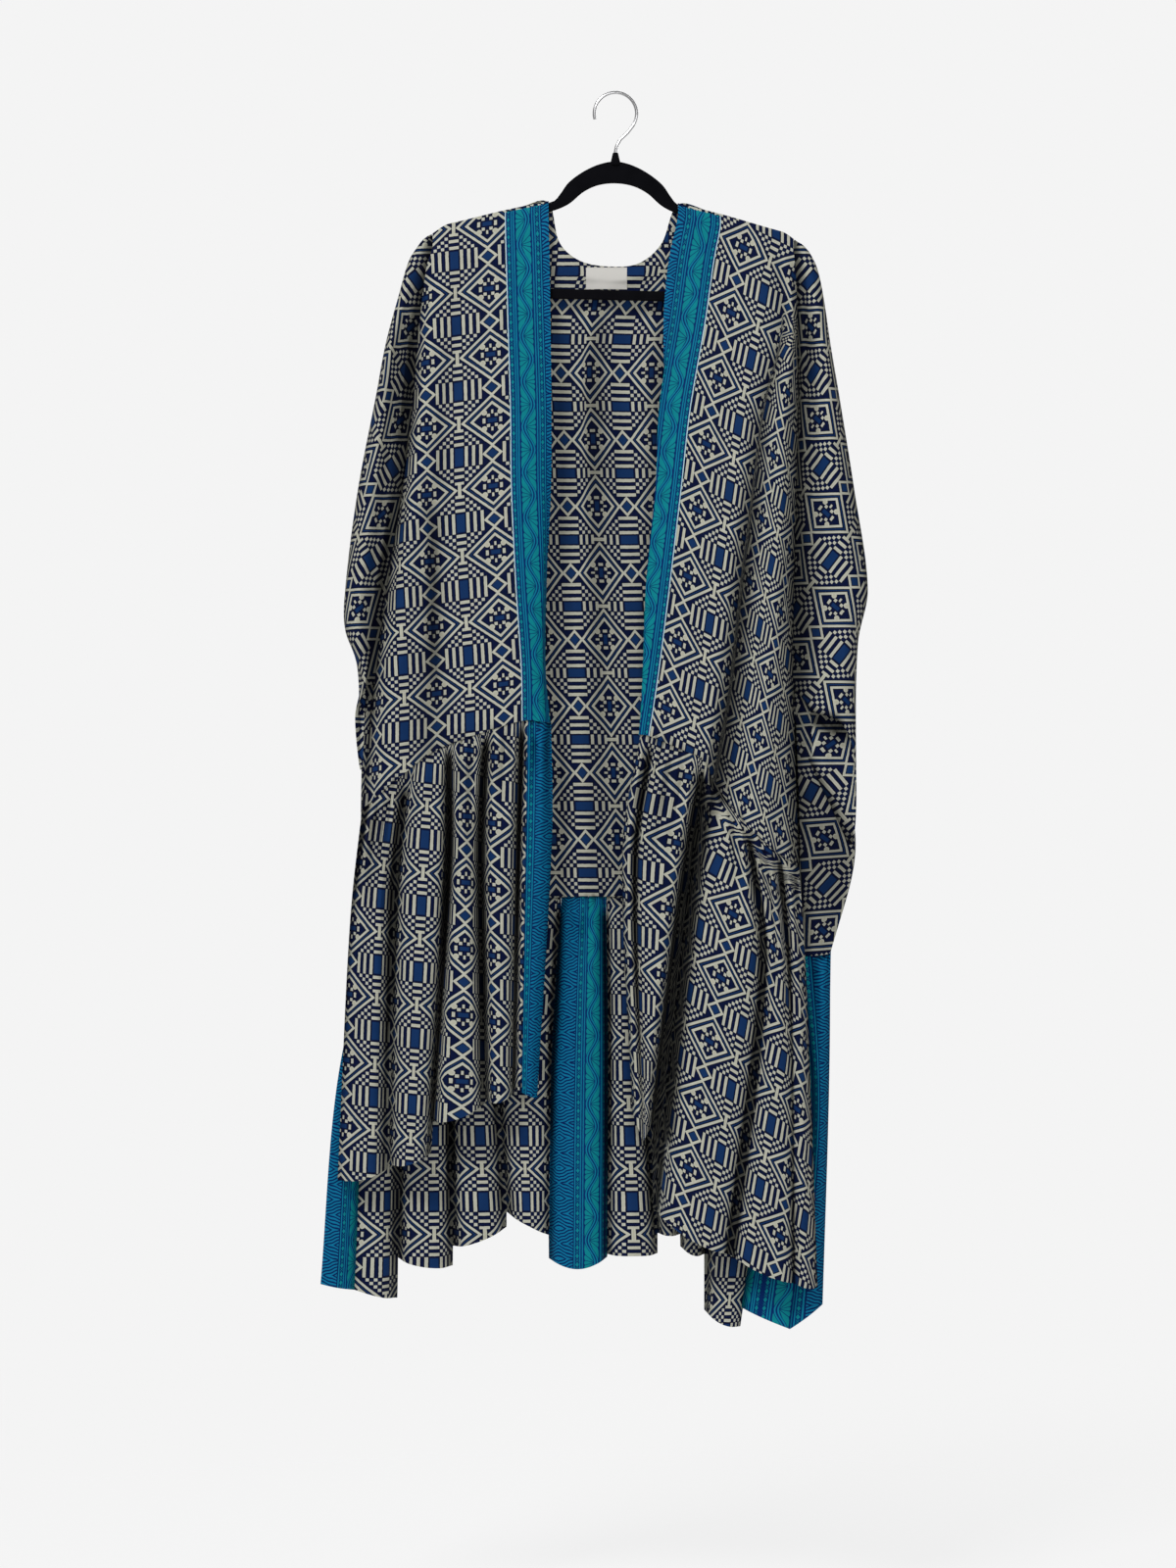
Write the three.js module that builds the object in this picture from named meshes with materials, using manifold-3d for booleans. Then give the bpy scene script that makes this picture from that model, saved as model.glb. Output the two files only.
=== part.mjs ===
// An open kimono robe with gathered skirts, hanging on a slim clothes hanger.
// Millimetres, +Z up. The origin is the inside top of the hook, where a rail carries it.
// +X is the wearer's left, -Y is the front. Right and left are the wearer's.
import * as THREE from "three";
import { mergeVertices } from "three/addons/utils/BufferGeometryUtils.js";
import Module from "manifold-3d";

const wasm = await Module();
wasm.setup();

// Driving sizes
const wall = 1.2; // thickness of the cloth
const seam = 0.3; // gap between pieces that are sewn together
const hangerThick = 6;
const hangerEdge = 1.5; // chamfer round the hanger's flat body
const hangerTilt = -0.024; // fall per millimetre towards the wearer's left
const wire = 3.6; // diameter of the hook's wire
const gatherDepth = 2.4; // how far the small gathers stand out at a waist seam
const gatherPitch = 19; // width of one small gather
const gatherFade = 0.22; // share of a skirt's height that the small gathers run down
const skirtDrop = 0.6; // a skirt's top edge lies this far under the edge it is sewn to
const seamHold = 14; // the skirt leaves the seam's line within one part in this many of its height

const navy = 0x1d2556; // ground colour of the printed cloth
const teal = 0x11788f; // colour of the border cloth

// Smooth curve through a table's values, with the slope at each knot taken from its neighbours.
function through(knots, values, at) {
  const last = knots.length - 1;
  let i = 0;
  while (i < last - 1 && at > knots[i + 1]) i += 1;
  const slope = (k) => {
    const a = Math.max(k - 1, 0);
    const b = Math.min(k + 1, last);
    return (values[b] - values[a]) / (knots[b] - knots[a]);
  };
  const span = knots[i + 1] - knots[i];
  const t = (at - knots[i]) / span;
  const t2 = t * t;
  const t3 = t2 * t;
  return (
    values[i] * (2 * t3 - 3 * t2 + 1) +
    slope(i) * span * (t3 - 2 * t2 + t) +
    values[i + 1] * (3 * t2 - 2 * t3) +
    slope(i + 1) * span * (t3 - t2)
  );
}

const mix = (a, b, f) => a + (b - a) * f;
const ease = (f) => {
  const c = Math.min(Math.max(f, 0), 1);
  return c * c * (3 - 2 * c);
};

// Stations along a run of knots: each knot, with equal parts of about one step between them.
function stations(knots, step) {
  const list = [knots[0]];
  const knotAt = [0];
  for (let i = 1; i < knots.length; i += 1) {
    const parts = Math.max(1, Math.round((knots[i] - knots[i - 1]) / step));
    for (let s = 1; s <= parts; s += 1) list.push(mix(knots[i - 1], knots[i], s / parts));
    knotAt.push(list.length - 1);
  }
  return { list, knotAt };
}

// Distances between neighbouring entries, averaged over the table, as knots.
function knotsOf(lists) {
  const knots = [0];
  for (let i = 1; i < lists[0].length; i += 1) {
    const mean = lists.reduce((sum, points) => sum + points[i].distanceTo(points[i - 1]), 0);
    knots.push(knots[i - 1] + mean / lists.length);
  }
  return knots;
}

// A cloth surface through a table of sections. Each section is [name, x list, y list, z list].
// Gives the points, and the grid column that each column of the table falls on.
function surfaceThrough(sections, across, down) {
  const points = sections.map(([, x, y, z]) => x.map((v, i) => new THREE.Vector3(v, y[i], z[i])));
  const columns = points[0].map((_, i) => points.map((row) => row[i]));
  const downKnots = knotsOf(columns);
  const acrossKnots = knotsOf(points);
  const part = (list, key) => list.map((p) => p[key]);
  const acrossStations = stations(acrossKnots, across);
  const grid = stations(downKnots, down).list.map((v) => {
    const line = columns.map((column) =>
      ["x", "y", "z"].map((key) => through(downKnots, part(column, key), v)),
    );
    return acrossStations.list.map(
      (u) => new THREE.Vector3(...[0, 1, 2].map((k) => through(acrossKnots, line.map((p) => p[k]), u))),
    );
  });
  return { grid, columnAt: acrossStations.knotAt };
}

// Depth and height of an edge, a list of points that runs one way in x, at a given x.
function along(edge, x) {
  const rising = edge[edge.length - 1].x > edge[0].x;
  let i = 0;
  while (i < edge.length - 2 && (rising ? x > edge[i + 1].x : x < edge[i + 1].x)) i += 1;
  const f = Math.min(Math.max((x - edge[i].x) / (edge[i + 1].x - edge[i].x), 0), 1);
  return edge[i].clone().lerp(edge[i + 1], f);
}

// A gathered skirt under a seam edge, with ridges between its furrows. Each line of its table is
// [name, x list, y list, furrow depth list, half width, hem z before the line, hem z after it, sag],
// where the lists run from the seam to the hem, and sag is how far the hem hangs lower towards the next line.
function surfaceGathered({ levels, lines, crown }, seamEdge, across, rows, side) {
  const at = (list, t) => through(levels, list, t);
  const down = Array.from({ length: rows + 1 }, (_, i) => Math.pow(i / rows, 1.25));
  return down.map((t) => {
    const row = [];
    const furrows = lines.map(([, x, , depth, half]) => ({ x: at(x, t), depth: at(depth, t), half }));
    lines.slice(1).forEach((next, k) => {
      const [, xa, ya, , , , hemA, sag] = lines[k];
      const [, xb, yb, , , hemB, hemNext] = next;
      for (let s = k ? 1 : 0; s <= across; s += 1) {
        const f = (1 - Math.cos((Math.PI * s) / across)) / 2;
        const x = mix(at(xa, t), at(xb, t), f);
        const swell = crown * Math.sin(Math.PI * f) * ease(t * 3);
        const sunk = furrows.reduce((sum, w) => sum + w.depth * Math.exp(-(((x - w.x) / w.half) ** 2)), 0);
        const small = gatherDepth * Math.sin((2 * Math.PI * x) / gatherPitch) * (1 - ease(t / gatherFade));
        const free = ease(t * seamHold);
        const sewn = along(seamEdge, mix(xa[0], xb[0], f));
        const loose = mix(at(ya, t), at(yb, t), f) + side * (sunk - swell + ease(t * 30) * small);
        const hem = s < across ? mix(hemA, hemB, f) - sag * Math.sin(Math.PI * f) : hemNext;
        const height = mix(sewn.z - skirtDrop, hem, t);
        row.push(new THREE.Vector3(x, mix(sewn.y, loose, free), height));
      }
    });
    return row;
  });
}

// The unit normals of a grid of points.
function normalsOf(grid) {
  return grid.map((row, j) =>
    row.map((_, i) => {
      const up = grid[Math.max(j - 1, 0)][i];
      const low = grid[Math.min(j + 1, grid.length - 1)][i];
      const left = row[Math.max(i - 1, 0)];
      const right = row[Math.min(i + 1, row.length - 1)];
      return low.clone().sub(up).cross(right.clone().sub(left)).normalize();
    }),
  );
}

const moved = (grid, by) => {
  const normals = normalsOf(grid);
  return grid.map((row, j) => row.map((p, i) => p.clone().addScaledVector(normals[j][i], by)));
};

// A closed wall between two layers of points. The first layer is on the side the normals face.
function wallBetween(face, lining) {
  const rows = face.length;
  const wide = face[0].length;
  const position = [...face, ...lining].flat();
  const id = (layer, j, i) => (layer * rows + j) * wide + i;
  const index = [];
  const quad = (a, b, c, d) => index.push(a, b, c, a, c, d);
  for (let j = 0; j < rows - 1; j += 1)
    for (let i = 0; i < wide - 1; i += 1) {
      quad(id(0, j, i), id(0, j + 1, i), id(0, j + 1, i + 1), id(0, j, i + 1));
      quad(id(1, j, i), id(1, j, i + 1), id(1, j + 1, i + 1), id(1, j + 1, i));
    }
  for (let j = 0; j < rows - 1; j += 1) {
    quad(id(0, j, 0), id(1, j, 0), id(1, j + 1, 0), id(0, j + 1, 0));
    quad(id(0, j + 1, wide - 1), id(1, j + 1, wide - 1), id(1, j, wide - 1), id(0, j, wide - 1));
  }
  for (let i = 0; i < wide - 1; i += 1) {
    quad(id(0, 0, i + 1), id(1, 0, i + 1), id(1, 0, i), id(0, 0, i));
    quad(id(0, rows - 1, i), id(1, rows - 1, i), id(1, rows - 1, i + 1), id(0, rows - 1, i + 1));
  }
  const geometry = new THREE.BufferGeometry();
  const flat = new Float32Array(position.flatMap((p) => p.toArray()));
  geometry.setAttribute("position", new THREE.BufferAttribute(flat, 3));
  geometry.setIndex(index);
  return geometry;
}

const wallOn = (grid, thick = wall) => wallBetween(moved(grid, thick / 2), moved(grid, -thick / 2));

// Points read off a grid between its rows and columns, as a grid of their own.
function patch(grid, [row0, row1], [column0, column1], rows, columns) {
  const steps = (a, b, n) => Array.from({ length: n + 1 }, (_, i) => mix(a, b, i / n));
  return steps(row0, row1, rows).map((r) =>
    steps(column0, column1, columns).map((c) => {
      const j = Math.floor(r);
      const i = Math.floor(c);
      const top = grid[j][i].clone().lerp(grid[j][i + 1], c - i);
      return top.lerp(grid[j + 1][i].clone().lerp(grid[j + 1][i + 1], c - i), r - j);
    }),
  );
}

// Columns of a grid, with both cut edges drawn in by half a seam where they meet a neighbour.
function strip(grid, from, to, trimFrom = 0, trimTo = 0) {
  return grid.map((row) => {
    const part = row.slice(from, to + 1).map((p) => p.clone());
    const draw = (edge, inner, by) => {
      const way = part[inner].clone().sub(part[edge]);
      part[edge].addScaledVector(way.normalize(), by);
    };
    if (trimFrom) draw(0, 1, trimFrom);
    if (trimTo) draw(part.length - 1, part.length - 2, trimTo);
    return part;
  });
}

// Hanger: half outline of its top edge, from the neck to the tip, before it is tilted
const shoulderLine = [
  [70, -122.5],
  [121, -134.2],
  [174, -148.4],
  [190, -152.9],
  [203, -161.7],
];
const hangerTop = (x) => {
  const xs = shoulderLine.map((p) => p[0]);
  const zs = shoulderLine.map((p) => p[1]);
  return through(xs, zs, Math.abs(x)) + hangerTilt * x;
};

// Where cloth lies over the hanger's arm: depth and height from the arm's top edge.
const overArm = [
  ["seam", 0.25, 1.3],
  ["brow", 2.8, 1],
  ["front of the arm", 4.5, -2],
  ["below the edge", 5.4, -14],
];
const shoulderRows = (xs, side) =>
  overArm.map(([name, out, rise]) => [
    name,
    xs,
    xs.map(() => side * out),
    xs.map((x) => hangerTop(x) + rise),
  ]);

// Fronts. Columns run from the opening to the side seam.
// Right front: opening, turn, band edge, middle, crease, ridge, side.
const rightFrontTop = [-75, -89, -124, -150, -172, -190, -205];
const rightFront = [
  ...shoulderRows(rightFrontTop, -1),
  [
    "collar",
    [-74, -88, -123, -153, -177, -198, -212],
    [-7, -8, -9, -11, -12, -14, -7],
    [-183, -183, -184, -186, -189, -193, -197],
  ],
  [
    "chest",
    [-73, -87, -121, -156, -185, -207, -220],
    [-9, -11, -14, -18, -18, -22, -6],
    [-257, -257, -257, -258, -259, -261, -262],
  ],
  [
    "underarm",
    [-72, -86, -118, -160, -192, -216, -228],
    [-11, -15, -19, -23, -20, -27, -6],
    [-356, -356, -356, -356, -357, -358, -358],
  ],
  [
    "ribs",
    [-73, -84, -117, -158, -197, -225, -240],
    [-11, -18, -23, -27, -22, -31, -4],
    [-444, -444, -444, -446, -448, -450, -452],
  ],
  [
    "low ribs",
    [-78, -84, -112, -160, -203, -239, -259],
    [-9, -19, -25, -29, -21, -33, -1.5],
    [-552, -552, -552, -556, -560, -565, -570],
  ],
  [
    "above the seam",
    [-79, -84, -106, -158, -206, -250, -274],
    [-8, -19, -25, -28, -20, -32, -1.5],
    [-645, -645, -644, -652, -662, -680, -693],
  ],
  [
    "waist",
    [-73, -82, -105, -154, -206, -254, -284],
    [-9, -18, -22, -24, -18, -27, -1.5],
    [-706, -705, -704, -719, -740, -778, -803],
  ],
];

// Left front: turned edge, turn, band edge, middle, swell, furrow, lobe, side.
const leftFrontTop = [70, 84, 118, 142, 162, 176, 189, 200];
const leftFront = [
  ...shoulderRows(leftFrontTop, -1),
  [
    "collar",
    [60, 74, 111, 140, 164, 182, 193, 202],
    [-6, -8, -9, -11, -13, -10, -14, -7],
    [-186, -186, -187, -189, -192, -195, -199, -203],
  ],
  [
    "chest",
    [54, 68, 101, 135, 166, 188, 197, 204],
    [-8, -11, -15, -19, -22, -13, -19, -6],
    [-257, -257, -257, -258, -260, -262, -263, -265],
  ],
  [
    "underarm",
    [58, 50, 84, 118, 148, 166, 187, 205],
    [-6, -14, -20, -24, -28, -15, -28, -5],
    [-356, -356, -356, -357, -359, -360, -361, -362],
  ],
  [
    "ribs",
    [60, 45, 74, 112, 138, 155, 184, 203],
    [-7, -17, -23, -27, -31, -16, -31, -4],
    [-444, -444, -444, -446, -448, -450, -453, -456],
  ],
  [
    "low ribs",
    [57, 35, 61, 100, 124, 141, 176, 200],
    [-7, -19, -25, -29, -33, -17, -34, -1.5],
    [-552, -552, -552, -556, -560, -566, -576, -584],
  ],
  [
    "above the seam",
    [54, 31, 49, 90, 112, 129, 168, 201],
    [-8, -19, -24, -29, -32, -15, -35, -1.5],
    [-648, -648, -648, -656, -662, -676, -706, -728],
  ],
  [
    "waist",
    [52, 28, 38, 78, 99, 112, 160, 206],
    [-8, -18, -22, -27, -30, -14, -35, -1.5],
    [-722, -720, -721, -738, -748, -775, -834, -868],
  ],
];

// Back: half of its columns lie on the shoulders, the rest hang round the neck.
// Columns: right side, right wing, four on the shoulder, six round the neck,
// four on the shoulder, left wing, left side.
const backTop = [-205, -191, -176, -142, -106, -75, -63, -40, -5, 27, 52, 70, 104, 140, 168, 184, 193, 200];
const neckHeight = [
  null, null, null, null, null, null, -166, -186.5, -193, -189, -167, null, null, null, null, null,
  null, null,
];
const neckCorners = [-75, 70];
const cornerOut = [4, 4.6, 5, 5.4];
const cornerRise = [0.35, -0.65, -4, -14];
const neckDrop = [0, 0.8, 3, 14];
const backRows = shoulderRows(backTop, 1).map(([name, xs, ys], row) => {
  const atCorner = (x) => neckCorners.includes(x);
  const y = xs.map((x, i) => {
    if (neckHeight[i] !== null) return 6 + row * 0.4;
    return atCorner(x) ? cornerOut[row] : ys[i];
  });
  const z = xs.map((x, i) => {
    if (neckHeight[i] !== null) return neckHeight[i] - neckDrop[row];
    return hangerTop(x) + (atCorner(x) ? cornerRise[row] : overArm[row][2]);
  });
  return [name, xs, y, z];
});
const backShape = [
  [
    "blades",
    [-212, -207, -184, -148, -112, -79, -62, -38, -12, 24, 51, 72, 106, 141, 168, 186, 196, 202],
    [7, 10, 13, 10, 14, 10, 10, 12, 9, 13, 11, 10, 14, 10, 15, 11, 11, 7],
    -218,
  ],
  [
    "upper back",
    [-222, -221, -194, -156, -118, -84, -60, -40, -25, 12, 46, 76, 108, 142, 172, 190, 201, 204],
    [6, 12, 23, 14, 25, 16, 23, 25, 14, 27, 20, 25, 17, 26, 15, 23, 13, 6],
    -300,
  ],
  [
    "mid back",
    [-232, -233, -203, -160, -121, -86, -61, -42, -25, 10, 45, 80, 112, 146, 176, 194, 205, 203],
    [5, 13, 29, 17, 31, 20, 29, 29, 17, 32, 24, 31, 20, 32, 18, 29, 17, 5],
    -400,
  ],
  [
    "small of the back",
    [-247, -250, -214, -166, -124, -87, -62, -44, -24, 8, 43, 83, 116, 150, 180, 202, 213, 202],
    [2, 13, 33, 18, 34, 22, 31, 30, 20, 33, 25, 33, 21, 34, 18, 33, 20, 2],
    -500,
  ],
  [
    "low back",
    [-268, -277, -226, -172, -127, -88, -64, -46, -22, 8, 42, 84, 120, 156, 190, 217, 227, 201],
    [1.5, 13, 35, 19, 36, 24, 32, 29, 21, 34, 25, 35, 22, 36, 19, 36, 22, 1.5],
    -620,
  ],
  [
    "waist of the back",
    [-281, -285, -238, -180, -130, -88, -66, -48, -20, 8, 40, 84, 124, 164, 214, 257, 269, 207],
    [1.5, 13, 35, 20, 36, 25, 31, 27, 22, 33, 25, 35, 23, 36, 20, 35, 16, 3],
    -790,
  ],
  [
    "back seam",
    [-270, -280, -236, -180, -130, -88, -66, -48, -20, 8, 40, 84, 122, 158, 202, 234, 243, 204],
    [8, 14, 30, 20, 31, 24, 28, 25, 22, 30, 25, 31, 23, 31, 20, 28, 17, 9],
    -903,
  ],
];
const backFall = [-18, -18, -16, -10, -5, -2, -1, 0, 0, 0, -1, -3, -8, -18, -34, -52, -62, -66];
const fallShare = [0, 0, 0, 0.1, 0.35, 0.75, 1];
const backBody = [
  ...backRows,
  ...backShape.map(([name, x, y, z], row) => [name, x, y, backFall.map((fall) => z + fall * fallShare[row])]),
];

// Sleeves. Columns: inner front, lobe, hollow, lobe, outer edge, lobe, hollow, lobe, inner back.
const leftSleeve = [
  [
    "cap",
    [200.9, 202, 203, 204, 205.4, 204, 203, 202, 200.9],
    [-1.2, -1.2, -1.2, -1.1, 0, 1.1, 1.2, 1.2, 1.2],
    [-163.8, -164.6, -165.5, -166.4, -167.4, -166.4, -165.5, -164.6, -163.8],
  ],
  [
    "brow",
    [201.2, 203.4, 205.6, 208, 211, 208, 205.6, 203.4, 201.2],
    [-3.9, -3.9, -3.8, -3.5, 0, 3.5, 3.8, 3.9, 3.9],
    [-166.2, -166.8, -167.6, -168.6, -170.4, -168.6, -167.6, -166.8, -166.2],
  ],
  [
    "over the tip",
    [201.4, 204, 207.5, 212, 217, 212, 207.5, 204, 201.4],
    [-4.8, -4.9, -4.8, -4.4, 0, 4.4, 4.8, 4.9, 4.8],
    [-175, -175, -175.5, -176, -177, -176, -175.5, -175, -175],
  ],
  [
    "round the tip",
    [202.6, 207, 212, 219, 226, 219, 212, 207, 202.6],
    [-6, -8, -7.5, -7, 0, 7, 7.5, 8, 6],
    [-194, -194, -194, -194, -195, -194, -194, -194, -194],
  ],
  [
    "upper arm",
    [204.6, 209, 215, 224, 233, 225, 216, 210, 204.6],
    [-6, -12, -8, -11, 0, 12, 9, 12, 6],
    [-225, -225, -225, -225, -226, -225, -225, -225, -225],
  ],
  [
    "arm",
    [206, 211, 219, 231, 241, 232, 222, 213, 206.4],
    [-6, -17, -8, -18, 0, 18, 12, 16, 6],
    [-280, -280, -280, -280, -280, -280, -280, -280, -280],
  ],
  [
    "armhole",
    [206.6, 212, 220, 237, 250.5, 239, 227, 215, 209],
    [-6, -20, -13, -24, 0, 23, 14, 20, 7],
    [-336, -336, -336, -336, -336, -336, -336, -336, -336],
  ],
  [
    "underarm",
    [206.8, 213, 224, 248, 268, 252, 234, 220, 217.2],
    [-5, -21, -17, -28, 0, 26, 15, 21, 10],
    [-445, -445, -445, -445, -445, -445, -445, -445, -445],
  ],
  [
    "low arm",
    [208, 216, 230, 261, 283, 263, 242, 228, 224],
    [-3, -20, -18, -28, -1, 24, 14, 18, 6],
    [-555, -555, -555, -555, -556, -555, -555, -555, -555],
  ],
  [
    "bent edge",
    [208, 216, 231, 258, 272, 262, 246, 233, 228],
    [-3, -17, -17, -24, -1, 20, 11, 14, 6],
    [-612, -612, -614, -616, -616, -622, -618, -614, -612],
  ],
  [
    "cuff",
    [206, 212, 224, 250, 268.5, 271.5, 256, 240, 228],
    [-3, -13, -15, -17, -2, 8, 6.5, 6, 3.5],
    [-664, -682, -695, -704, -745, -842, -800, -750, -704],
  ],
];
const rightSleeve = [
  [
    "cap",
    [-205.9, -207, -208, -209, -210.4, -209, -208, -207, -205.9],
    [-1.2, -1.2, -1.2, -1.1, 0, 1.1, 1.2, 1.2, 1.2],
    [-158, -158.2, -158.6, -159, -159.5, -159, -158.6, -158.2, -158],
  ],
  [
    "brow",
    [-206.2, -208.2, -210.4, -212.6, -215.6, -212.6, -210.4, -208.2, -206.2],
    [-3.9, -3.9, -3.8, -3.5, 0, 3.5, 3.8, 3.9, 3.9],
    [-160, -160.6, -161.2, -162, -163.4, -162, -161.2, -160.6, -160],
  ],
  [
    "over the tip",
    [-206.6, -209, -212, -215, -219.5, -215, -212, -209, -206.6],
    [-4.8, -4.9, -4.8, -4.4, 0, 4.4, 4.8, 4.9, 4.8],
    [-166, -166, -166.5, -167, -168, -167, -166.5, -166, -166],
  ],
  [
    "round the tip",
    [-210.4, -214, -219, -225, -231.5, -225, -219, -214, -210.4],
    [-6, -8, -7.5, -7, 0, 7, 7.5, 8, 6],
    [-186, -186, -186, -186, -187, -186, -186, -186, -186],
  ],
  [
    "upper arm",
    [-218, -223, -229, -236, -243, -236, -229, -223, -218],
    [-6, -12, -8, -11, 0, 12, 9, 12, 6],
    [-225, -225, -225, -225, -226, -225, -225, -225, -225],
  ],
  [
    "arm",
    [-223.4, -232, -241, -250, -257.5, -250, -242, -234, -225.4],
    [-6, -18, -9, -18, 0, 18, 12, 17, 7],
    [-280, -280, -280, -280, -280, -280, -280, -280, -280],
  ],
  [
    "armhole",
    [-228.6, -238, -247, -258, -268, -258, -249, -241, -233],
    [-6, -23, -12, -24, 0, 23, 14, 21, 9],
    [-336, -336, -336, -336, -336, -336, -336, -336, -336],
  ],
  [
    "underarm",
    [-243, -249, -257, -272, -289, -274, -264, -258, -252],
    [-4, -18, -12, -27, 0, 25, 15, 22, 10],
    [-445, -445, -445, -445, -445, -445, -445, -445, -445],
  ],
  [
    "low arm",
    [-265, -268, -272, -287, -303, -290, -281, -276, -271],
    [-3, -12, -14, -26, -1, 22, 14, 18, 6],
    [-555, -555, -555, -555, -556, -555, -555, -555, -555],
  ],
  [
    "bent edge",
    [-272, -274, -277, -289, -303, -296, -288, -283, -279],
    [-3, -9, -12, -22, -1, 18, 11, 14, 6],
    [-606, -606, -606, -604, -602, -606, -608, -608, -606],
  ],
  [
    "pinch",
    [-275, -277, -279, -281, -285, -291, -290, -287, -283],
    [-3, -7, -9, -10, -2, 10, 9, 9, 6],
    [-650, -650, -650, -649, -650, -664, -670, -666, -660],
  ],
  [
    "cuff",
    [-276, -279, -281, -285, -292, -289, -288, -286, -283],
    [-3, -8, -10, -9, -1, 7, 7, 7, 4.5],
    [-662, -664, -667, -676, -700, -757, -750, -726, -700],
  ],
];

// Skirts. Levels are shares of the height from the waist seam to the hem.
const levels = [0, 0.3, 1];
const rightFrontSkirt = {
  levels,
  crown: 6,
  lines: [
    ["opening edge", [-72, -71, -88], [-14, -14, -15], [0, 0, 0], 8, -1127, -1127, 0],
    ["border", [-98, -100, -105], [-20, -22, -22], [0, 0, 0], 8, -1119, -1119, 0],
    ["first furrow", [-105, -108, -114], [-22, -26, -26], [2, 18, 16], 7, -1116, -1120, 6],
    ["second furrow", [-147, -151, -146], [-23, -30, -30], [3, 22, 20], 9, -1128, -1132, 6],
    ["third furrow", [-186, -187, -207], [-22, -31, -33], [3, 27, 26], 8, -1152, -1188, 5],
    ["fourth furrow", [-232, -247, -256], [-25, -33, -32], [3, 18, 20], 13, -1200, -1206, 5],
    ["side edge", [-284, -297, -311], [-2.4, -11, -10], [0, 0, 0], 8, -1218, -1218, 0],
  ],
};
const leftFrontSkirt = {
  levels,
  crown: 6,
  lines: [
    ["opening edge", [28, 8, 19], [-18, -9, -9], [0, 0, 0], 8, -1143, -1143, 0],
    ["first crease", [44, 22, 31], [-23, -25, -26], [2, 12, 4], 6, -1174, -1174, 0],
    ["deep furrow", [101, 81, 42], [-30, -31, -32], [3, 27, 26], 11, -1153, -1250, 8],
    ["soft furrow", [150, 166, 128], [-35, -38, -38], [3, 9, 12], 12, -1300, -1300, 4],
    ["side furrow", [186, 196, 200], [-18, -34, -36], [3, 6, 8], 10, -1332, -1332, 2],
    ["side edge", [206, 214, 226], [-2.4, -11, -14], [0, 0, 0], 8, -1338, -1338, 0],
  ],
};
const backSkirt = {
  levels: [0, 0.45, 1],
  crown: 9,
  lines: [
    ["right edge", [-270, -312, -331], [8, 5, 2], [0, 0, 0], 8, -1336, -1336, 0],
    ["right border", [-238, -280, -294], [25, 22, 15], [0, 0, 0], 8, -1344, -1344, 0],
    ["first furrow", [-204, -240, -247], [26, 26, 22], [2, 12, 20], 11, -1357, -1311, 3],
    ["second furrow", [-160, -184, -184], [25, 24, 20], [2, 12, 20], 10, -1320, -1298, 3],
    ["third furrow", [-118, -134, -123], [25, 24, 22], [2, 12, 17], 11, -1276, -1259, 0],
    ["centre border", [-61, -72, -75], [24, 22, 20], [1, 6, 8], 9, -1284, -1310, 11],
    ["centre border end", [-10, -8, -9], [24, 22, 20], [1, 9, 12], 8, -1309, -1306, 0],
    ["fourth furrow", [30, 32, 48], [25, 24, 22], [2, 12, 17], 8, -1306, -1283, 0],
    ["fifth furrow", [74, 70, 74], [25, 24, 24], [2, 12, 14], 8, -1284, -1298, 3],
    ["sixth furrow", [122, 114, 101], [25, 24, 24], [2, 13, 16], 8, -1307, -1370, 5],
    ["left border", [160, 176, 141], [25, 22, 16], [1, 4, 5], 9, -1386, -1364, 0],
    ["left fold", [204, 222, 196], [18, 12, 5], [0, 0, 0], 8, -1387, -1387, 0],
    ["left edge", [243, 240, 233], [18, 16, 12], [0, 0, 0], 8, -1360, -1360, 0],
  ],
};

// Sampling: the usual distance between two points of a grid, across and down
const rightFrontCloth = surfaceThrough(rightFront, 11, 48);
const leftFrontCloth = surfaceThrough(leftFront, 11, 48);
const backCloth = surfaceThrough(backBody, 14, 58);
// A sleeve's inner edge at the front lies close beside the side edge of the front.
function besideFront(sections, { grid }, away) {
  const edge = grid.map((row) => row[row.length - 1]);
  const sideAt = (z) => {
    const k = edge.findIndex((p, i) => i > 0 && p.z <= z);
    const [a, b] = k < 0 ? edge.slice(-2) : [edge[k - 1], edge[k]];
    return mix(a.x, b.x, Math.min((z - a.z) / (b.z - a.z), 1));
  };
  return sections.map(([name, [own, ...x], y, z], row) => {
    const inner = row < 2 ? own : sideAt(z[0]) + away;
    return [name, [inner, ...x], y, z];
  });
}
const sleeveClear = 2.2; // from the middle of one wall to the middle of the next
const rightSleeveCloth = surfaceThrough(besideFront(rightSleeve, rightFrontCloth, -sleeveClear), 6, 42);
const leftSleeveCloth = surfaceThrough(besideFront(leftSleeve, leftFrontCloth, sleeveClear), 7, 42);
const labelRows = [2, 4]; // rows of the back that the label lies between
const labelColumns = [7.2, 8.55]; // and the same in columns of its table
const skirtAcross = 6;
const lastRow = (grid, from = 0) => grid[grid.length - 1].slice(from);
const leftFold = leftFrontCloth.columnAt[1]; // column of the left front where its edge folds back
const rightFrontSkirtGrid = surfaceGathered(rightFrontSkirt, lastRow(rightFrontCloth.grid), skirtAcross, 8, 1);
const leftFrontHem = lastRow(leftFrontCloth.grid, leftFold);
const leftFrontSkirtGrid = surfaceGathered(leftFrontSkirt, leftFrontHem, skirtAcross, 9, 1);
const backSkirtGrid = surfaceGathered(backSkirt, lastRow(backCloth.grid), skirtAcross, 8, 1);

const material = (color, roughness, metalness = 0) =>
  new THREE.MeshStandardMaterial({ color, roughness, metalness });
const cloth = material(navy, 0.7);
const border = material(teal, 0.65);
const flock = material(0x060606, 0.95);
const steel = material(0xc8c8c8, 0.25, 1);
const tape = material(0xd8d6cc, 0.8);

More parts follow.
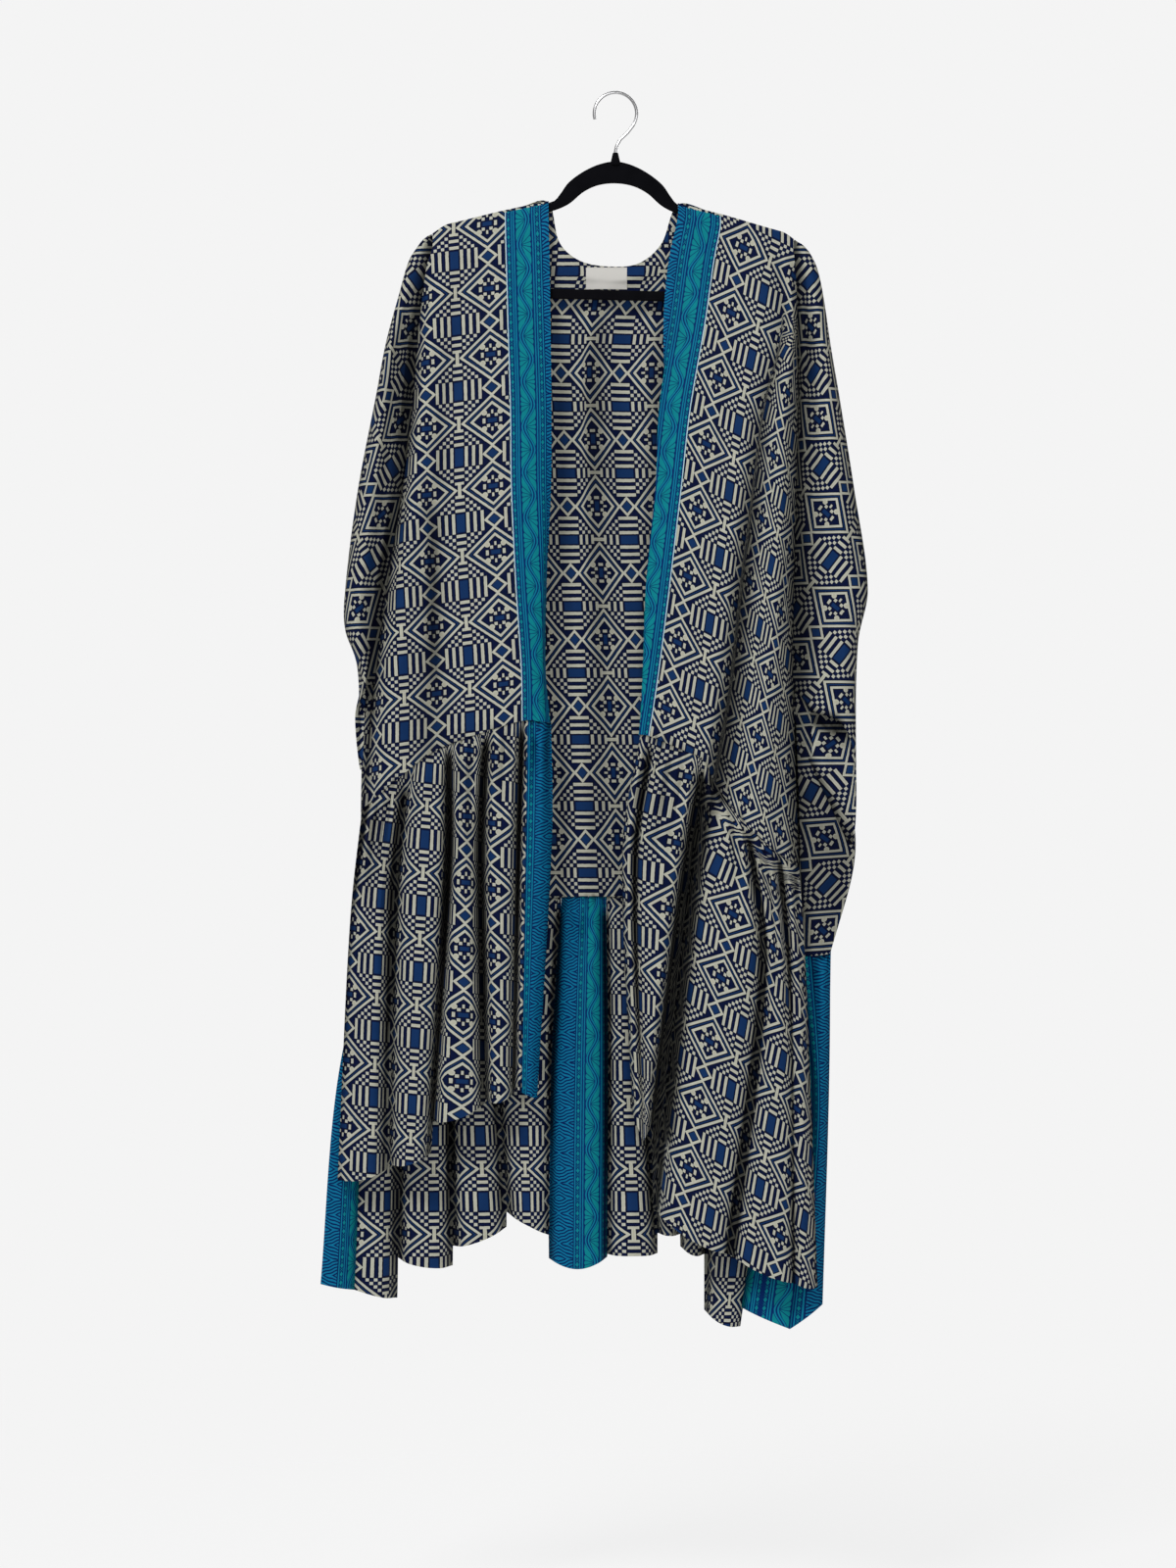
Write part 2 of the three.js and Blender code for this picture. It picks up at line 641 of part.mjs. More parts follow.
const robe = new THREE.Group();
function add(name, geometry, finish) {
  const mesh = new THREE.Mesh(geometry, finish);
  mesh.name = name;
  robe.add(mesh);
}

// Hanger: a flat frame with an arch at the neck and a trouser bar, its edges chamfered
const tilted = ([x, z]) => new THREE.Vector2(x, z + hangerTilt * x);
const bothSides = (rightHalf) => [
  ...rightHalf.filter(([x]) => x > 0).map(([x, z]) => [-x, z]).reverse(),
  ...rightHalf,
];
const smooth = (points, count) => new THREE.SplineCurve(points).getSpacedPoints(count);
const frameTop = [
  [0, -76], [18, -79.5], [36.5, -88.5], [53, -101.3], [62, -114], ...shoulderLine, [208.6, -168.6],
  [211.5, -179], [208, -196], [198, -214], [182, -226], [160, -231.4],
];
const openingTop = [
  [0, -100.2], [19.8, -102.9], [36, -110.8], [52, -124.4], [68, -132], [121, -148], [174, -163],
  [190, -168.5], [197, -178], [195, -193], [187, -208], [174, -217.4], [156, -220.4],
];
const frame = new THREE.Shape(smooth(bothSides(frameTop).map(tilted), 88));
frame.holes.push(new THREE.Path(smooth(bothSides(openingTop).map(tilted), 72).reverse()));
const frameBody = new THREE.ExtrudeGeometry(frame, {
  depth: hangerThick - 2 * hangerEdge,
  bevelThickness: hangerEdge,
  bevelSize: hangerEdge,
  bevelOffset: -hangerEdge,
  bevelSegments: 1,
});
frameBody.translate(0, 0, -hangerThick / 2 + hangerEdge);
frameBody.rotateX(Math.PI / 2);

function solid(geometry) {
  const bare = geometry.clone();
  bare.deleteAttribute("normal");
  bare.deleteAttribute("uv");
  const merged = mergeVertices(bare, 1e-4);
  const mesh = new wasm.Mesh({
    numProp: 3,
    vertProperties: new Float32Array(merged.attributes.position.array),
    triVerts: new Uint32Array(merged.index.array),
  });
  mesh.merge();
  return new wasm.Manifold(mesh);
}
function geometryOf(body) {
  const mesh = body.getMesh();
  const geometry = new THREE.BufferGeometry();
  geometry.setAttribute("position", new THREE.BufferAttribute(mesh.vertProperties, 3));
  geometry.setIndex(Array.from(mesh.triVerts));
  return geometry;
}

// Hook: a round bore in the frame's neck holds the foot of the wire.
const hookRadius = 22; // inside of the hook's bend
const neckTop = -66;
const wireFoot = -88;
const boreSlack = 0.15;
const round = 20;
const neckHigh = 14;
const boreHigh = 40;
const upright = (topRadius, footRadius, high, foot) =>
  solid(
    new THREE.CylinderGeometry(topRadius, footRadius, high, round)
      .rotateX(Math.PI / 2)
      .translate(0, 0, foot + high / 2),
  );
const neck = upright(2.9, 6.2, neckHigh, neckTop - neckHigh);
const bore = upright(wire / 2 + boreSlack, wire / 2 + boreSlack, boreHigh, wireFoot - seam);
const hangerBody = solid(frameBody).add(neck).subtract(bore);

const hookMiddle = hookRadius + wire / 2;
const turnPoints = (from, to, count) =>
  Array.from({ length: count + 1 }, (_, i) => {
    const a = THREE.MathUtils.degToRad(mix(from, to, i / count));
    return new THREE.Vector3(hookMiddle * Math.sin(a), 0, -hookRadius + hookMiddle * Math.cos(a));
  });
const hookPath = [
  new THREE.Vector3(0, 0, wireFoot),
  new THREE.Vector3(0, 0, neckTop + 1),
  new THREE.Vector3(1.2, 0, -59),
  new THREE.Vector3(5.4, 0, -51),
  new THREE.Vector3(13.5, 0, -43.5),
  ...turnPoints(125, -105, 20),
];
function wireAlong(path, radius, sides) {
  const rings = path.map((p, i) => {
    const ahead = path[Math.min(i + 1, path.length - 1)];
    const behind = path[Math.max(i - 1, 0)];
    const way = ahead.clone().sub(behind).normalize();
    const across = new THREE.Vector3(0, 1, 0);
    const up = across.clone().cross(way);
    return Array.from({ length: sides }, (_, k) => {
      const a = (2 * Math.PI * k) / sides;
      return p.clone().addScaledVector(up, radius * Math.cos(a)).addScaledVector(across, radius * Math.sin(a));
    });
  });
  const position = [...rings.flat(), path[0], path[path.length - 1]];
  const index = [];
  const id = (ring, k) => ring * sides + (k % sides);
  for (let r = 0; r < rings.length - 1; r += 1)
    for (let k = 0; k < sides; k += 1) {
      index.push(id(r, k), id(r, k + 1), id(r + 1, k + 1), id(r, k), id(r + 1, k + 1), id(r + 1, k));
    }
  const foot = rings.length * sides;
  for (let k = 0; k < sides; k += 1) {
    index.push(foot, id(0, k + 1), id(0, k));
    index.push(foot + 1, id(rings.length - 1, k), id(rings.length - 1, k + 1));
  }
  const geometry = new THREE.BufferGeometry();
  const flat = new Float32Array(position.flatMap((p) => p.toArray()));
  geometry.setAttribute("position", new THREE.BufferAttribute(flat, 3));
  geometry.setIndex(index);
  return geometry;
}
add("hanger_frame", geometryOf(hangerBody), flock);
add("hanger_hook", wireAlong(hookPath, wire / 2, 12), steel);

// Each front and the back is parted along the row where it leaves the hanger's arm.
const half = seam / 2;
const armRow = 2;
const turned = (grid) => grid[0].map((_, i) => grid.map((row) => row[i]));
const panel = (name, { grid }) => {
  const layers = [moved(grid, wall / 2), moved(grid, -wall / 2)];
  const cut = (...rows) => wallBetween(...layers.map((layer) => turned(strip(turned(layer), ...rows))));
  add(`${name}_shoulder`, cut(0, armRow, 0, half), cloth);
  add(name, cut(armRow, grid.length - 1, half, 0), cloth);
};
panel("front_right", rightFrontCloth);
panel("front_left", leftFrontCloth);
panel("back", backCloth);
add("sleeve_right", wallOn(rightSleeveCloth.grid), cloth);
add("sleeve_left", wallOn(leftSleeveCloth.grid), cloth);

// Neck label: lies on the inside of the back, under the neckline.
const labelThick = 0.7;
const labelGap = 0.9;
const labelLift = wall / 2 + labelGap + labelThick / 2;
const onGrid = (column) => {
  const [a, b] = [Math.floor(column), Math.ceil(column)].map((c) => backCloth.columnAt[c]);
  return mix(a, b, column - Math.floor(column));
};
const labelGrid = patch(moved(backCloth.grid, labelLift), labelRows, labelColumns.map(onGrid), 2, 4);
add("neck_label", wallOn(labelGrid, labelThick), tape);

// Front bands lie on the fronts, from the opening to the band edge.
const bandEdge = 2; // table column of a front that its band ends on
const bandOn = ({ grid, columnAt }, out) => {
  const layer = (by) => strip(moved(grid, by).slice(1), 0, columnAt[bandEdge]);
  const near = wall / 2 + seam;
  const far = near + wall;
  return out > 0 ? wallBetween(layer(far), layer(near)) : wallBetween(layer(-near), layer(-far));
};
add("front_band_right", bandOn(rightFrontCloth, -1), border);
add("front_band_left", bandOn(leftFrontCloth, 1), border);

// Skirts, with the borders as pieces of their own
const skirtPiece = (name, grid, across, from, to, finish) => {
  const last = (grid[0].length - 1) / across;
  const trimFrom = from > 0 ? half : 0;
  const trimTo = to < last ? half : 0;
  const layer = (by) => strip(moved(grid, by), from * across, to * across, trimFrom, trimTo);
  add(name, wallBetween(layer(wall / 2), layer(-wall / 2)), finish);
};
skirtPiece("front_skirt_border_right", rightFrontSkirtGrid, skirtAcross, 0, 1, border);
skirtPiece("front_skirt_right", rightFrontSkirtGrid, skirtAcross, 1, 6, cloth);
skirtPiece("front_skirt_left", leftFrontSkirtGrid, skirtAcross, 0, 5, cloth);
skirtPiece("back_skirt_border_right", backSkirtGrid, skirtAcross, 0, 1, border);
skirtPiece("back_skirt_right", backSkirtGrid, skirtAcross, 1, 5, cloth);
skirtPiece("back_skirt_border_centre", backSkirtGrid, skirtAcross, 5, 6, border);
skirtPiece("back_skirt_left", backSkirtGrid, skirtAcross, 6, 10, cloth);
skirtPiece("back_skirt_border_left", backSkirtGrid, skirtAcross, 10, 12, border);

export default robe;
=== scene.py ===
# A kimono robe with gathered skirts and printed borders, hanging on a slim flocked hanger.
# Everything is in the frame of the part: the origin is the inside top of the hook,
# +Z is up, -Y is the front and +X is the wearer's left.
import math

import bpy
import numpy as np
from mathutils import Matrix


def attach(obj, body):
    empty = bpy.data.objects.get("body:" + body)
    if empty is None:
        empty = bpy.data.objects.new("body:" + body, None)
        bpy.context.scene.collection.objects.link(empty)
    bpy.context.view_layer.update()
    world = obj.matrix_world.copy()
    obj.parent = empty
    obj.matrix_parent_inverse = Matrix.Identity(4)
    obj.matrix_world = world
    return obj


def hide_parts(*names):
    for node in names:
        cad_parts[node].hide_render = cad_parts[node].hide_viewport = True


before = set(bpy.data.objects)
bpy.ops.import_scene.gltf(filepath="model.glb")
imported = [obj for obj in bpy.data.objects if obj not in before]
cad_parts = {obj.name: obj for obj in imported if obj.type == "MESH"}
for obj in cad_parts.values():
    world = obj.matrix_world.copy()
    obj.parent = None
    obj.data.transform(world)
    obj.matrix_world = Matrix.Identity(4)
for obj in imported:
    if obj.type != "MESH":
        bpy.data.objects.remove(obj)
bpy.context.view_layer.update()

MM = 0.001

# Sizes of the cloth, in millimetres
SHELL = 0.6  # thickness of the visible cloth
SEAM = 0.3  # gap between two pieces at a seam
BAND_LIFT = SHELL + SEAM  # how far a band lies in front of its panel
LABEL_THICK = 0.5
LABEL_LIFT = 0.35  # clear space between the label and the back
SLEEVE_TUCK = 1.6  # how far a sleeve's edge goes behind the front
SLEEVE_DIP = 7  # depth of the long fold pressed into each sleeve

# Skirts, in millimetres and shares
SKIRT_DROP = -1.4  # a skirt's top edge lies this far above the seam, behind the panel
SKIRT_TUCK = 1.3  # and this far behind the seam's line
SEAM_HOLD = 14  # a skirt leaves the seam's line within one part in this many of its height
ROW_CROWDING = 1.15  # above 1, the rows of points lie closer together near the seam
GATHER_FADE = 0.4  # share of a skirt's height that its small gathers run down
GATHER_DEEPEN = 1.25  # the cloth sinks this much deeper into a furrow than the plain solid does
FURROW_TIGHT = 0.72  # and its furrows are narrower by this share
FURROW_TOP = 11  # extra depth of a furrow at the seam

# Painted shade of the folds, seams and edges, as shares of the darkest shade
FOLD_SHADE = 0.88  # how much darker the painted shade makes the cloth at the bottom of a deep fold
FOLD_DEPTH = 8  # depth in millimetres that gets the whole painted shade
EDGE_SHADE = 0.95  # where a sleeve or the back goes behind the front
STANDING_SHADE = 0.8  # along the standing fold of the left front
SEAM_SHADE = 0.8  # in the groove of a waist seam
KNOT_SHADE = 0.85  # in the small gathers that a waist seam pinches
KNOT_PITCH = 8.7  # distance between those gathers, in millimetres
KNOT_REACH = 11  # how far up a panel they reach
FOLD_TOP = -235  # height under which the left front's fold stands

# Print and border, in millimetres
PRINT_REPEAT = (75.2, 73.8)  # across the threads and along them
BORDER_WIDTH = 58

# Colours, linear
CREAM = (0.555, 0.565, 0.50)
TAN = (0.40, 0.385, 0.29)
INK = (0.002, 0.002, 0.010)
NAVY = (0.003, 0.007, 0.036)
BLUE = (0.007, 0.030, 0.105)
TEAL = (0.004, 0.21, 0.25)
LIGHT_TEAL = (0.004, 0.19, 0.30)
DEEP_BLUE = (0.002, 0.024, 0.125)
HATCH_BLUE = (0.002, 0.014, 0.085)
HATCH_TEAL = (0.004, 0.16, 0.31)
SELVEDGE = (0.45, 0.66, 0.75)

# Half outline of the hanger's top edge before it is tilted: distance from the middle, height
SHOULDER_LINE = [(70, -122.5), (121, -134.2), (174, -148.4), (190, -152.9), (203, -161.7)]
HANGER_TILT = -0.024
HANGER_THICK = 6
FRAME_TOP = [(0, -76), (18, -79.5), (36.5, -88.5), (53, -101.3), (62, -114)] + SHOULDER_LINE + [
    (208.6, -168.6), (211.5, -179), (208, -196), (198, -214), (182, -226), (160, -231.4)]
FRAME_OPENING = [(0, -100.2), (19.8, -102.9), (36, -110.8), (52, -124.4), (68, -132), (121, -148),
                 (174, -163), (190, -168.5), (197, -178), (195, -193), (187, -208), (174, -217.4),
                 (156, -220.4)]
WIRE = 3.6
HOOK_RADIUS = 22
NECK_TOP = -66

# Where cloth lies over the hanger's arm: depth, and height from the arm's top edge
OVER_ARM = [("seam", 0.25, 1.3), ("brow", 2.8, 1), ("front of the arm", 4.5, -2),
            ("below the edge", 5.4, -14)]

# Sections of the cloth. Each row holds x, y and z for the columns named above it.
# Opening, turn, band edge, middle, crease, ridge, side
RIGHT_FRONT_TOP = [-75, -89, -124, -150, -172, -190, -205]
RIGHT_FRONT = [
    ("collar", [-74, -88, -123, -153, -177, -198, -212],
     [-7, -8, -9, -11, -12, -14, -7],
     [-183, -183, -184, -186, -189, -193, -197]),
    ("chest", [-73, -87, -121, -156, -185, -207, -220],
     [-9, -11, -14, -18, -18, -22, -6],
     [-257, -257, -257, -258, -259, -261, -262]),
    ("underarm", [-72, -86, -118, -160, -192, -216, -228],
     [-11, -15, -19, -23, -20, -27, -6],
     [-356, -356, -356, -356, -357, -358, -358]),
    ("ribs", [-73, -84, -117, -158, -197, -225, -240],
     [-11, -18, -23, -27, -22, -31, -4],
     [-444, -444, -444, -446, -448, -450, -452]),
    ("low ribs", [-78, -84, -112, -160, -203, -239, -259],
     [-9, -19, -25, -29, -21, -33, -1.5],
     [-552, -552, -552, -556, -560, -565, -570]),
    ("above the seam", [-79, -84, -106, -158, -206, -250, -274],
     [-8, -19, -25, -28, -20, -32, -1.5],
     [-645, -645, -644, -652, -662, -680, -693]),
    ("waist", [-73, -82, -105, -154, -206, -254, -284],
     [-9, -18, -22, -24, -18, -27, -1.5],
     [-706, -705, -704, -719, -740, -778, -803]),
]
# Turned edge, turn, band edge, middle, swell, furrow, lobe, side
LEFT_FRONT_TOP = [70, 84, 118, 142, 162, 176, 189, 200]
LEFT_FRONT = [
    ("collar", [60, 74, 111, 140, 164, 182, 193, 202],
     [-6, -8, -9, -11, -13, -10, -14, -7],
     [-186, -186, -187, -189, -192, -195, -199, -203]),
    ("chest", [54, 68, 101, 135, 166, 188, 197, 204],
     [-8, -11, -15, -19, -22, -13, -19, -6],
     [-257, -257, -257, -258, -260, -262, -263, -265]),
    ("underarm", [58, 50, 84, 118, 148, 166, 187, 205],
     [-6, -14, -20, -24, -28, -15, -28, -5],
     [-356, -356, -356, -357, -359, -360, -361, -362]),
    ("ribs", [60, 45, 74, 112, 138, 155, 184, 203],
     [-7, -17, -23, -27, -31, -16, -31, -4],
     [-444, -444, -444, -446, -448, -450, -453, -456]),
    ("low ribs", [57, 35, 61, 100, 124, 141, 176, 200],
     [-7, -19, -25, -29, -33, -17, -34, -1.5],
     [-552, -552, -552, -556, -560, -566, -576, -584]),
    ("above the seam", [54, 31, 49, 90, 112, 129, 168, 201],
     [-8, -19, -24, -29, -32, -15, -35, -1.5],
     [-648, -648, -648, -656, -662, -676, -706, -728]),
    ("waist", [52, 28, 38, 78, 99, 112, 160, 206],
     [-8, -18, -22, -27, -30, -14, -35, -1.5],
     [-722, -720, -721, -738, -748, -775, -834, -868]),
]
# Right side, right wing, four on the shoulder, five round the neck, five on the shoulder, wing, side
BACK_TOP = [-205, -191, -176, -142, -106, -75, -63, -40, -5, 27, 52, 70, 104, 140, 168, 184, 193, 200]
# Height of the neckline at the columns round the neck, and how it turns over the shoulder corners
NECK_HEIGHT = {6: -166, 7: -186.5, 8: -193, 9: -189, 10: -167}
NECK_CORNERS = [-75, 70]
CORNER_OUT = [4, 4.6, 5, 5.4]
CORNER_RISE = [0.35, -0.65, -4, -14]
NECK_DROP = [0, 0.8, 3, 14]
BACK_SHAPE = [
    ("blades",
     [-212, -207, -184, -148, -112, -79, -62, -38, -12, 24, 51, 72, 106, 141, 168, 186, 196, 202],
     [7, 10, 13, 10, 14, 10, 10, 12, 9, 13, 11, 10, 14, 10, 15, 11, 11, 7],
     -218),
    ("upper back",
     [-222, -221, -194, -156, -118, -84, -60, -40, -25, 12, 46, 76, 108, 142, 172, 190, 201, 204],
     [6, 12, 23, 14, 25, 16, 23, 25, 14, 27, 20, 25, 17, 26, 15, 23, 13, 6],
     -300),
    ("mid back",
     [-232, -233, -203, -160, -121, -86, -61, -42, -25, 10, 45, 80, 112, 146, 176, 194, 205, 203],
     [5, 13, 29, 17, 31, 20, 29, 29, 17, 32, 24, 31, 20, 32, 18, 29, 17, 5],
     -400),
    ("small of the back",
     [-247, -250, -214, -166, -124, -87, -62, -44, -24, 8, 43, 83, 116, 150, 180, 202, 213, 202],
     [2, 13, 33, 18, 34, 22, 31, 30, 20, 33, 25, 33, 21, 34, 18, 33, 20, 2],
     -500),
    ("low back",
     [-268, -277, -226, -172, -127, -88, -64, -46, -22, 8, 42, 84, 120, 156, 190, 217, 227, 201],
     [1.5, 13, 35, 19, 36, 24, 32, 29, 21, 34, 25, 35, 22, 36, 19, 36, 22, 1.5],
     -620),
    ("waist of the back",
     [-281, -285, -238, -180, -130, -88, -66, -48, -20, 8, 40, 84, 124, 164, 214, 257, 269, 207],
     [1.5, 13, 35, 20, 36, 25, 31, 27, 22, 33, 25, 35, 23, 36, 20, 35, 16, 3],
     -790),
    ("back seam",
     [-270, -280, -236, -180, -130, -88, -66, -48, -20, 8, 40, 84, 122, 158, 202, 234, 243, 204],
     [8, 14, 30, 20, 31, 24, 28, 25, 22, 30, 25, 31, 23, 31, 20, 28, 17, 9],
     -903),
]
# How far each column of the back hangs below the heights above, and the share of it in each row
BACK_FALL = [-18, -18, -16, -10, -5, -2, -1, 0, 0, 0, -1, -3, -8, -18, -34, -52, -62, -66]
FALL_SHARE = [0, 0, 0, 0.1, 0.35, 0.75, 1]
# Inner front, lobe, hollow, lobe, outer edge, lobe, hollow, lobe, inner back
LEFT_SLEEVE = [
    ("cap", [200.9, 202, 203, 204, 205.4, 204, 203, 202, 200.9],
     [-1.2, -1.2, -1.2, -1.1, 0, 1.1, 1.2, 1.2, 1.2],
     [-163.8, -164.6, -165.5, -166.4, -167.4, -166.4, -165.5, -164.6, -163.8]),
    ("brow", [201.2, 203.4, 205.6, 208, 211, 208, 205.6, 203.4, 201.2],
     [-3.9, -3.9, -3.8, -3.5, 0, 3.5, 3.8, 3.9, 3.9],
     [-166.2, -166.8, -167.6, -168.6, -170.4, -168.6, -167.6, -166.8, -166.2]),
    ("over the tip", [201.4, 204, 207.5, 212, 217, 212, 207.5, 204, 201.4],
     [-4.8, -4.9, -4.8, -4.4, 0, 4.4, 4.8, 4.9, 4.8],
     [-175, -175, -175.5, -176, -177, -176, -175.5, -175, -175]),
    ("round the tip", [202.6, 207, 212, 219, 226, 219, 212, 207, 202.6],
     [-6, -8, -7.5, -7, 0, 7, 7.5, 8, 6],
     [-194, -194, -194, -194, -195, -194, -194, -194, -194]),
    ("upper arm", [204.6, 209, 215, 224, 233, 225, 216, 210, 204.6],
     [-6, -12, -8, -11, 0, 12, 9, 12, 6],
     [-225, -225, -225, -225, -226, -225, -225, -225, -225]),
    ("arm", [206, 211, 219, 231, 241, 232, 222, 213, 206.4],
     [-6, -17, -8, -18, 0, 18, 12, 16, 6],
     [-280] * 9),
    ("armhole", [206.6, 212, 220, 237, 250.5, 239, 227, 215, 209],
     [-6, -20, -13, -24, 0, 23, 14, 20, 7],
     [-336] * 9),
    ("underarm", [206.8, 213, 224, 248, 268, 252, 234, 220, 217.2],
     [-5, -21, -17, -28, 0, 26, 15, 21, 10],
     [-445] * 9),
    ("low arm", [208, 216, 230, 261, 283, 263, 242, 228, 224],
     [-3, -20, -18, -28, -1, 24, 14, 18, 6],
     [-555, -555, -555, -555, -556, -555, -555, -555, -555]),
    ("bent edge", [208, 216, 231, 258, 272, 262, 246, 233, 228],
     [-3, -17, -17, -24, -1, 20, 11, 14, 6],
     [-612, -612, -614, -616, -616, -622, -618, -614, -612]),
    ("cuff", [206, 212, 224, 250, 268.5, 271.5, 256, 240, 228],
     [-3, -13, -15, -17, -2, 8, 6.5, 6, 3.5],
     [-664, -682, -695, -704, -745, -842, -800, -750, -704]),
]
RIGHT_SLEEVE = [
    ("cap", [-205.9, -207, -208, -209, -210.4, -209, -208, -207, -205.9],
     [-1.2, -1.2, -1.2, -1.1, 0, 1.1, 1.2, 1.2, 1.2],
     [-158, -158.2, -158.6, -159, -159.5, -159, -158.6, -158.2, -158]),
    ("brow", [-206.2, -208.2, -210.4, -212.6, -215.6, -212.6, -210.4, -208.2, -206.2],
     [-3.9, -3.9, -3.8, -3.5, 0, 3.5, 3.8, 3.9, 3.9],
     [-160, -160.6, -161.2, -162, -163.4, -162, -161.2, -160.6, -160]),
    ("over the tip", [-206.6, -209, -212, -215, -219.5, -215, -212, -209, -206.6],
     [-4.8, -4.9, -4.8, -4.4, 0, 4.4, 4.8, 4.9, 4.8],
     [-166, -166, -166.5, -167, -168, -167, -166.5, -166, -166]),
    ("round the tip", [-210.4, -214, -219, -225, -231.5, -225, -219, -214, -210.4],
     [-6, -8, -7.5, -7, 0, 7, 7.5, 8, 6],
     [-186, -186, -186, -186, -187, -186, -186, -186, -186]),
    ("upper arm", [-218, -223, -229, -236, -243, -236, -229, -223, -218],
     [-6, -12, -8, -11, 0, 12, 9, 12, 6],
     [-225, -225, -225, -225, -226, -225, -225, -225, -225]),
    ("arm", [-223.4, -232, -241, -250, -257.5, -250, -242, -234, -225.4],
     [-6, -18, -9, -18, 0, 18, 12, 17, 7],
     [-280] * 9),
    ("armhole", [-228.6, -238, -247, -258, -268, -258, -249, -241, -233],
     [-6, -23, -12, -24, 0, 23, 14, 21, 9],
     [-336] * 9),
    ("underarm", [-243, -249, -257, -272, -289, -274, -264, -258, -252],
     [-4, -18, -12, -27, 0, 25, 15, 22, 10],
     [-445] * 9),
    ("low arm", [-265, -268, -272, -287, -303, -290, -281, -276, -271],
     [-3, -12, -14, -26, -1, 22, 14, 18, 6],
     [-555, -555, -555, -555, -556, -555, -555, -555, -555]),
    ("bent edge", [-272, -274, -277, -289, -303, -296, -288, -283, -279],
     [-3, -9, -12, -22, -1, 18, 11, 14, 6],
     [-606, -606, -606, -604, -602, -606, -608, -608, -606]),
    ("pinch", [-275, -277, -279, -281, -285, -291, -290, -287, -283],
     [-3, -7, -9, -10, -2, 10, 9, 9, 6],
     [-650, -650, -650, -649, -650, -664, -670, -666, -660]),
    ("cuff", [-276, -279, -281, -285, -292, -289, -288, -286, -283],
     [-3, -8, -10, -9, -1, 7, 7, 7, 4.5],
     [-662, -664, -667, -676, -700, -757, -750, -726, -700]),
]
BACK_PULL = [(8, 1), (7, 0.8), (6, 0.5), (5, 0.2)]  # column, and how much of the back's pull it gets
# Skirts. A line is its name, x, y and furrow depth at each level, half width, the hem's height
# before and after the line, and how far the hem sags towards the next line.
RIGHT_FRONT_SKIRT = {
    "levels": [0, 0.3, 1], "crown": 6, "lines": [
        ("opening edge", [-72, -71, -88], [-14, -14, -15], [0, 0, 0], 8, -1127, -1127, 0),
        ("border", [-98, -100, -105], [-20, -22, -22], [0, 0, 0], 8, -1119, -1119, 0),
        ("first furrow", [-105, -108, -114], [-22, -26, -26], [2, 18, 16], 7, -1116, -1120, 6),
        ("second furrow", [-147, -151, -146], [-23, -30, -30], [3, 22, 20], 9, -1128, -1132, 6),
        ("third furrow", [-186, -187, -207], [-22, -31, -33], [3, 27, 26], 8, -1152, -1188, 5),
        ("fourth furrow", [-232, -247, -256], [-25, -33, -32], [3, 18, 20], 13, -1200, -1206, 5),
        ("side edge", [-284, -297, -311], [-2.4, -11, -10], [0, 0, 0], 8, -1218, -1218, 0),
    ]}
LEFT_FRONT_SKIRT = {
    "levels": [0, 0.3, 1], "crown": 6, "lines": [
        ("opening edge", [28, 8, 19], [-18, -9, -9], [0, 0, 0], 8, -1143, -1143, 0),
        ("first crease", [44, 22, 31], [-23, -25, -26], [2, 12, 4], 6, -1174, -1174, 0),
        ("deep furrow", [101, 81, 42], [-30, -31, -32], [3, 27, 26], 11, -1153, -1250, 8),
        ("soft furrow", [150, 166, 128], [-35, -38, -38], [3, 9, 12], 12, -1300, -1300, 4),
        ("side furrow", [186, 196, 200], [-18, -34, -36], [3, 6, 8], 10, -1332, -1332, 2),
        ("side edge", [206, 214, 226], [-2.4, -11, -14], [0, 0, 0], 8, -1338, -1338, 0),
    ]}
BACK_SKIRT = {
    "levels": [0, 0.45, 1], "crown": 9, "lines": [
        ("right edge", [-270, -312, -331], [8, 5, 2], [0, 0, 0], 8, -1336, -1336, 0),
        ("right border", [-238, -280, -294], [25, 22, 15], [0, 0, 0], 8, -1344, -1344, 0),
        ("first furrow", [-204, -240, -247], [26, 26, 22], [2, 12, 20], 11, -1357, -1311, 3),
        ("second furrow", [-160, -184, -184], [25, 24, 20], [2, 12, 20], 10, -1320, -1298, 3),
        ("third furrow", [-118, -134, -123], [25, 24, 22], [2, 12, 17], 11, -1276, -1259, 0),
        ("centre border", [-61, -72, -75], [24, 22, 20], [1, 6, 8], 9, -1284, -1310, 11),
        ("centre border end", [-10, -8, -9], [24, 22, 20], [1, 9, 12], 8, -1309, -1306, 0),
        ("fourth furrow", [30, 32, 48], [25, 24, 22], [2, 12, 17], 8, -1306, -1283, 0),
        ("fifth furrow", [74, 70, 74], [25, 24, 24], [2, 12, 14], 8, -1284, -1298, 3),
        ("sixth furrow", [122, 114, 101], [25, 24, 24], [2, 13, 16], 8, -1307, -1370, 5),
        ("left border", [160, 176, 141], [25, 22, 16], [1, 4, 5], 9, -1386, -1364, 0),
        ("left fold", [204, 222, 196], [18, 12, 5], [0, 0, 0], 8, -1387, -1387, 0),
        ("left edge", [243, 240, 233], [18, 16, 12], [0, 0, 0], 8, -1360, -1360, 0),
    ]}


# Shapes of cloth
def ease(f):
    """0 below 0, 1 above 1, and a smooth step between."""
    c = np.clip(f, 0, 1)
    return c * c * (3 - 2 * c)


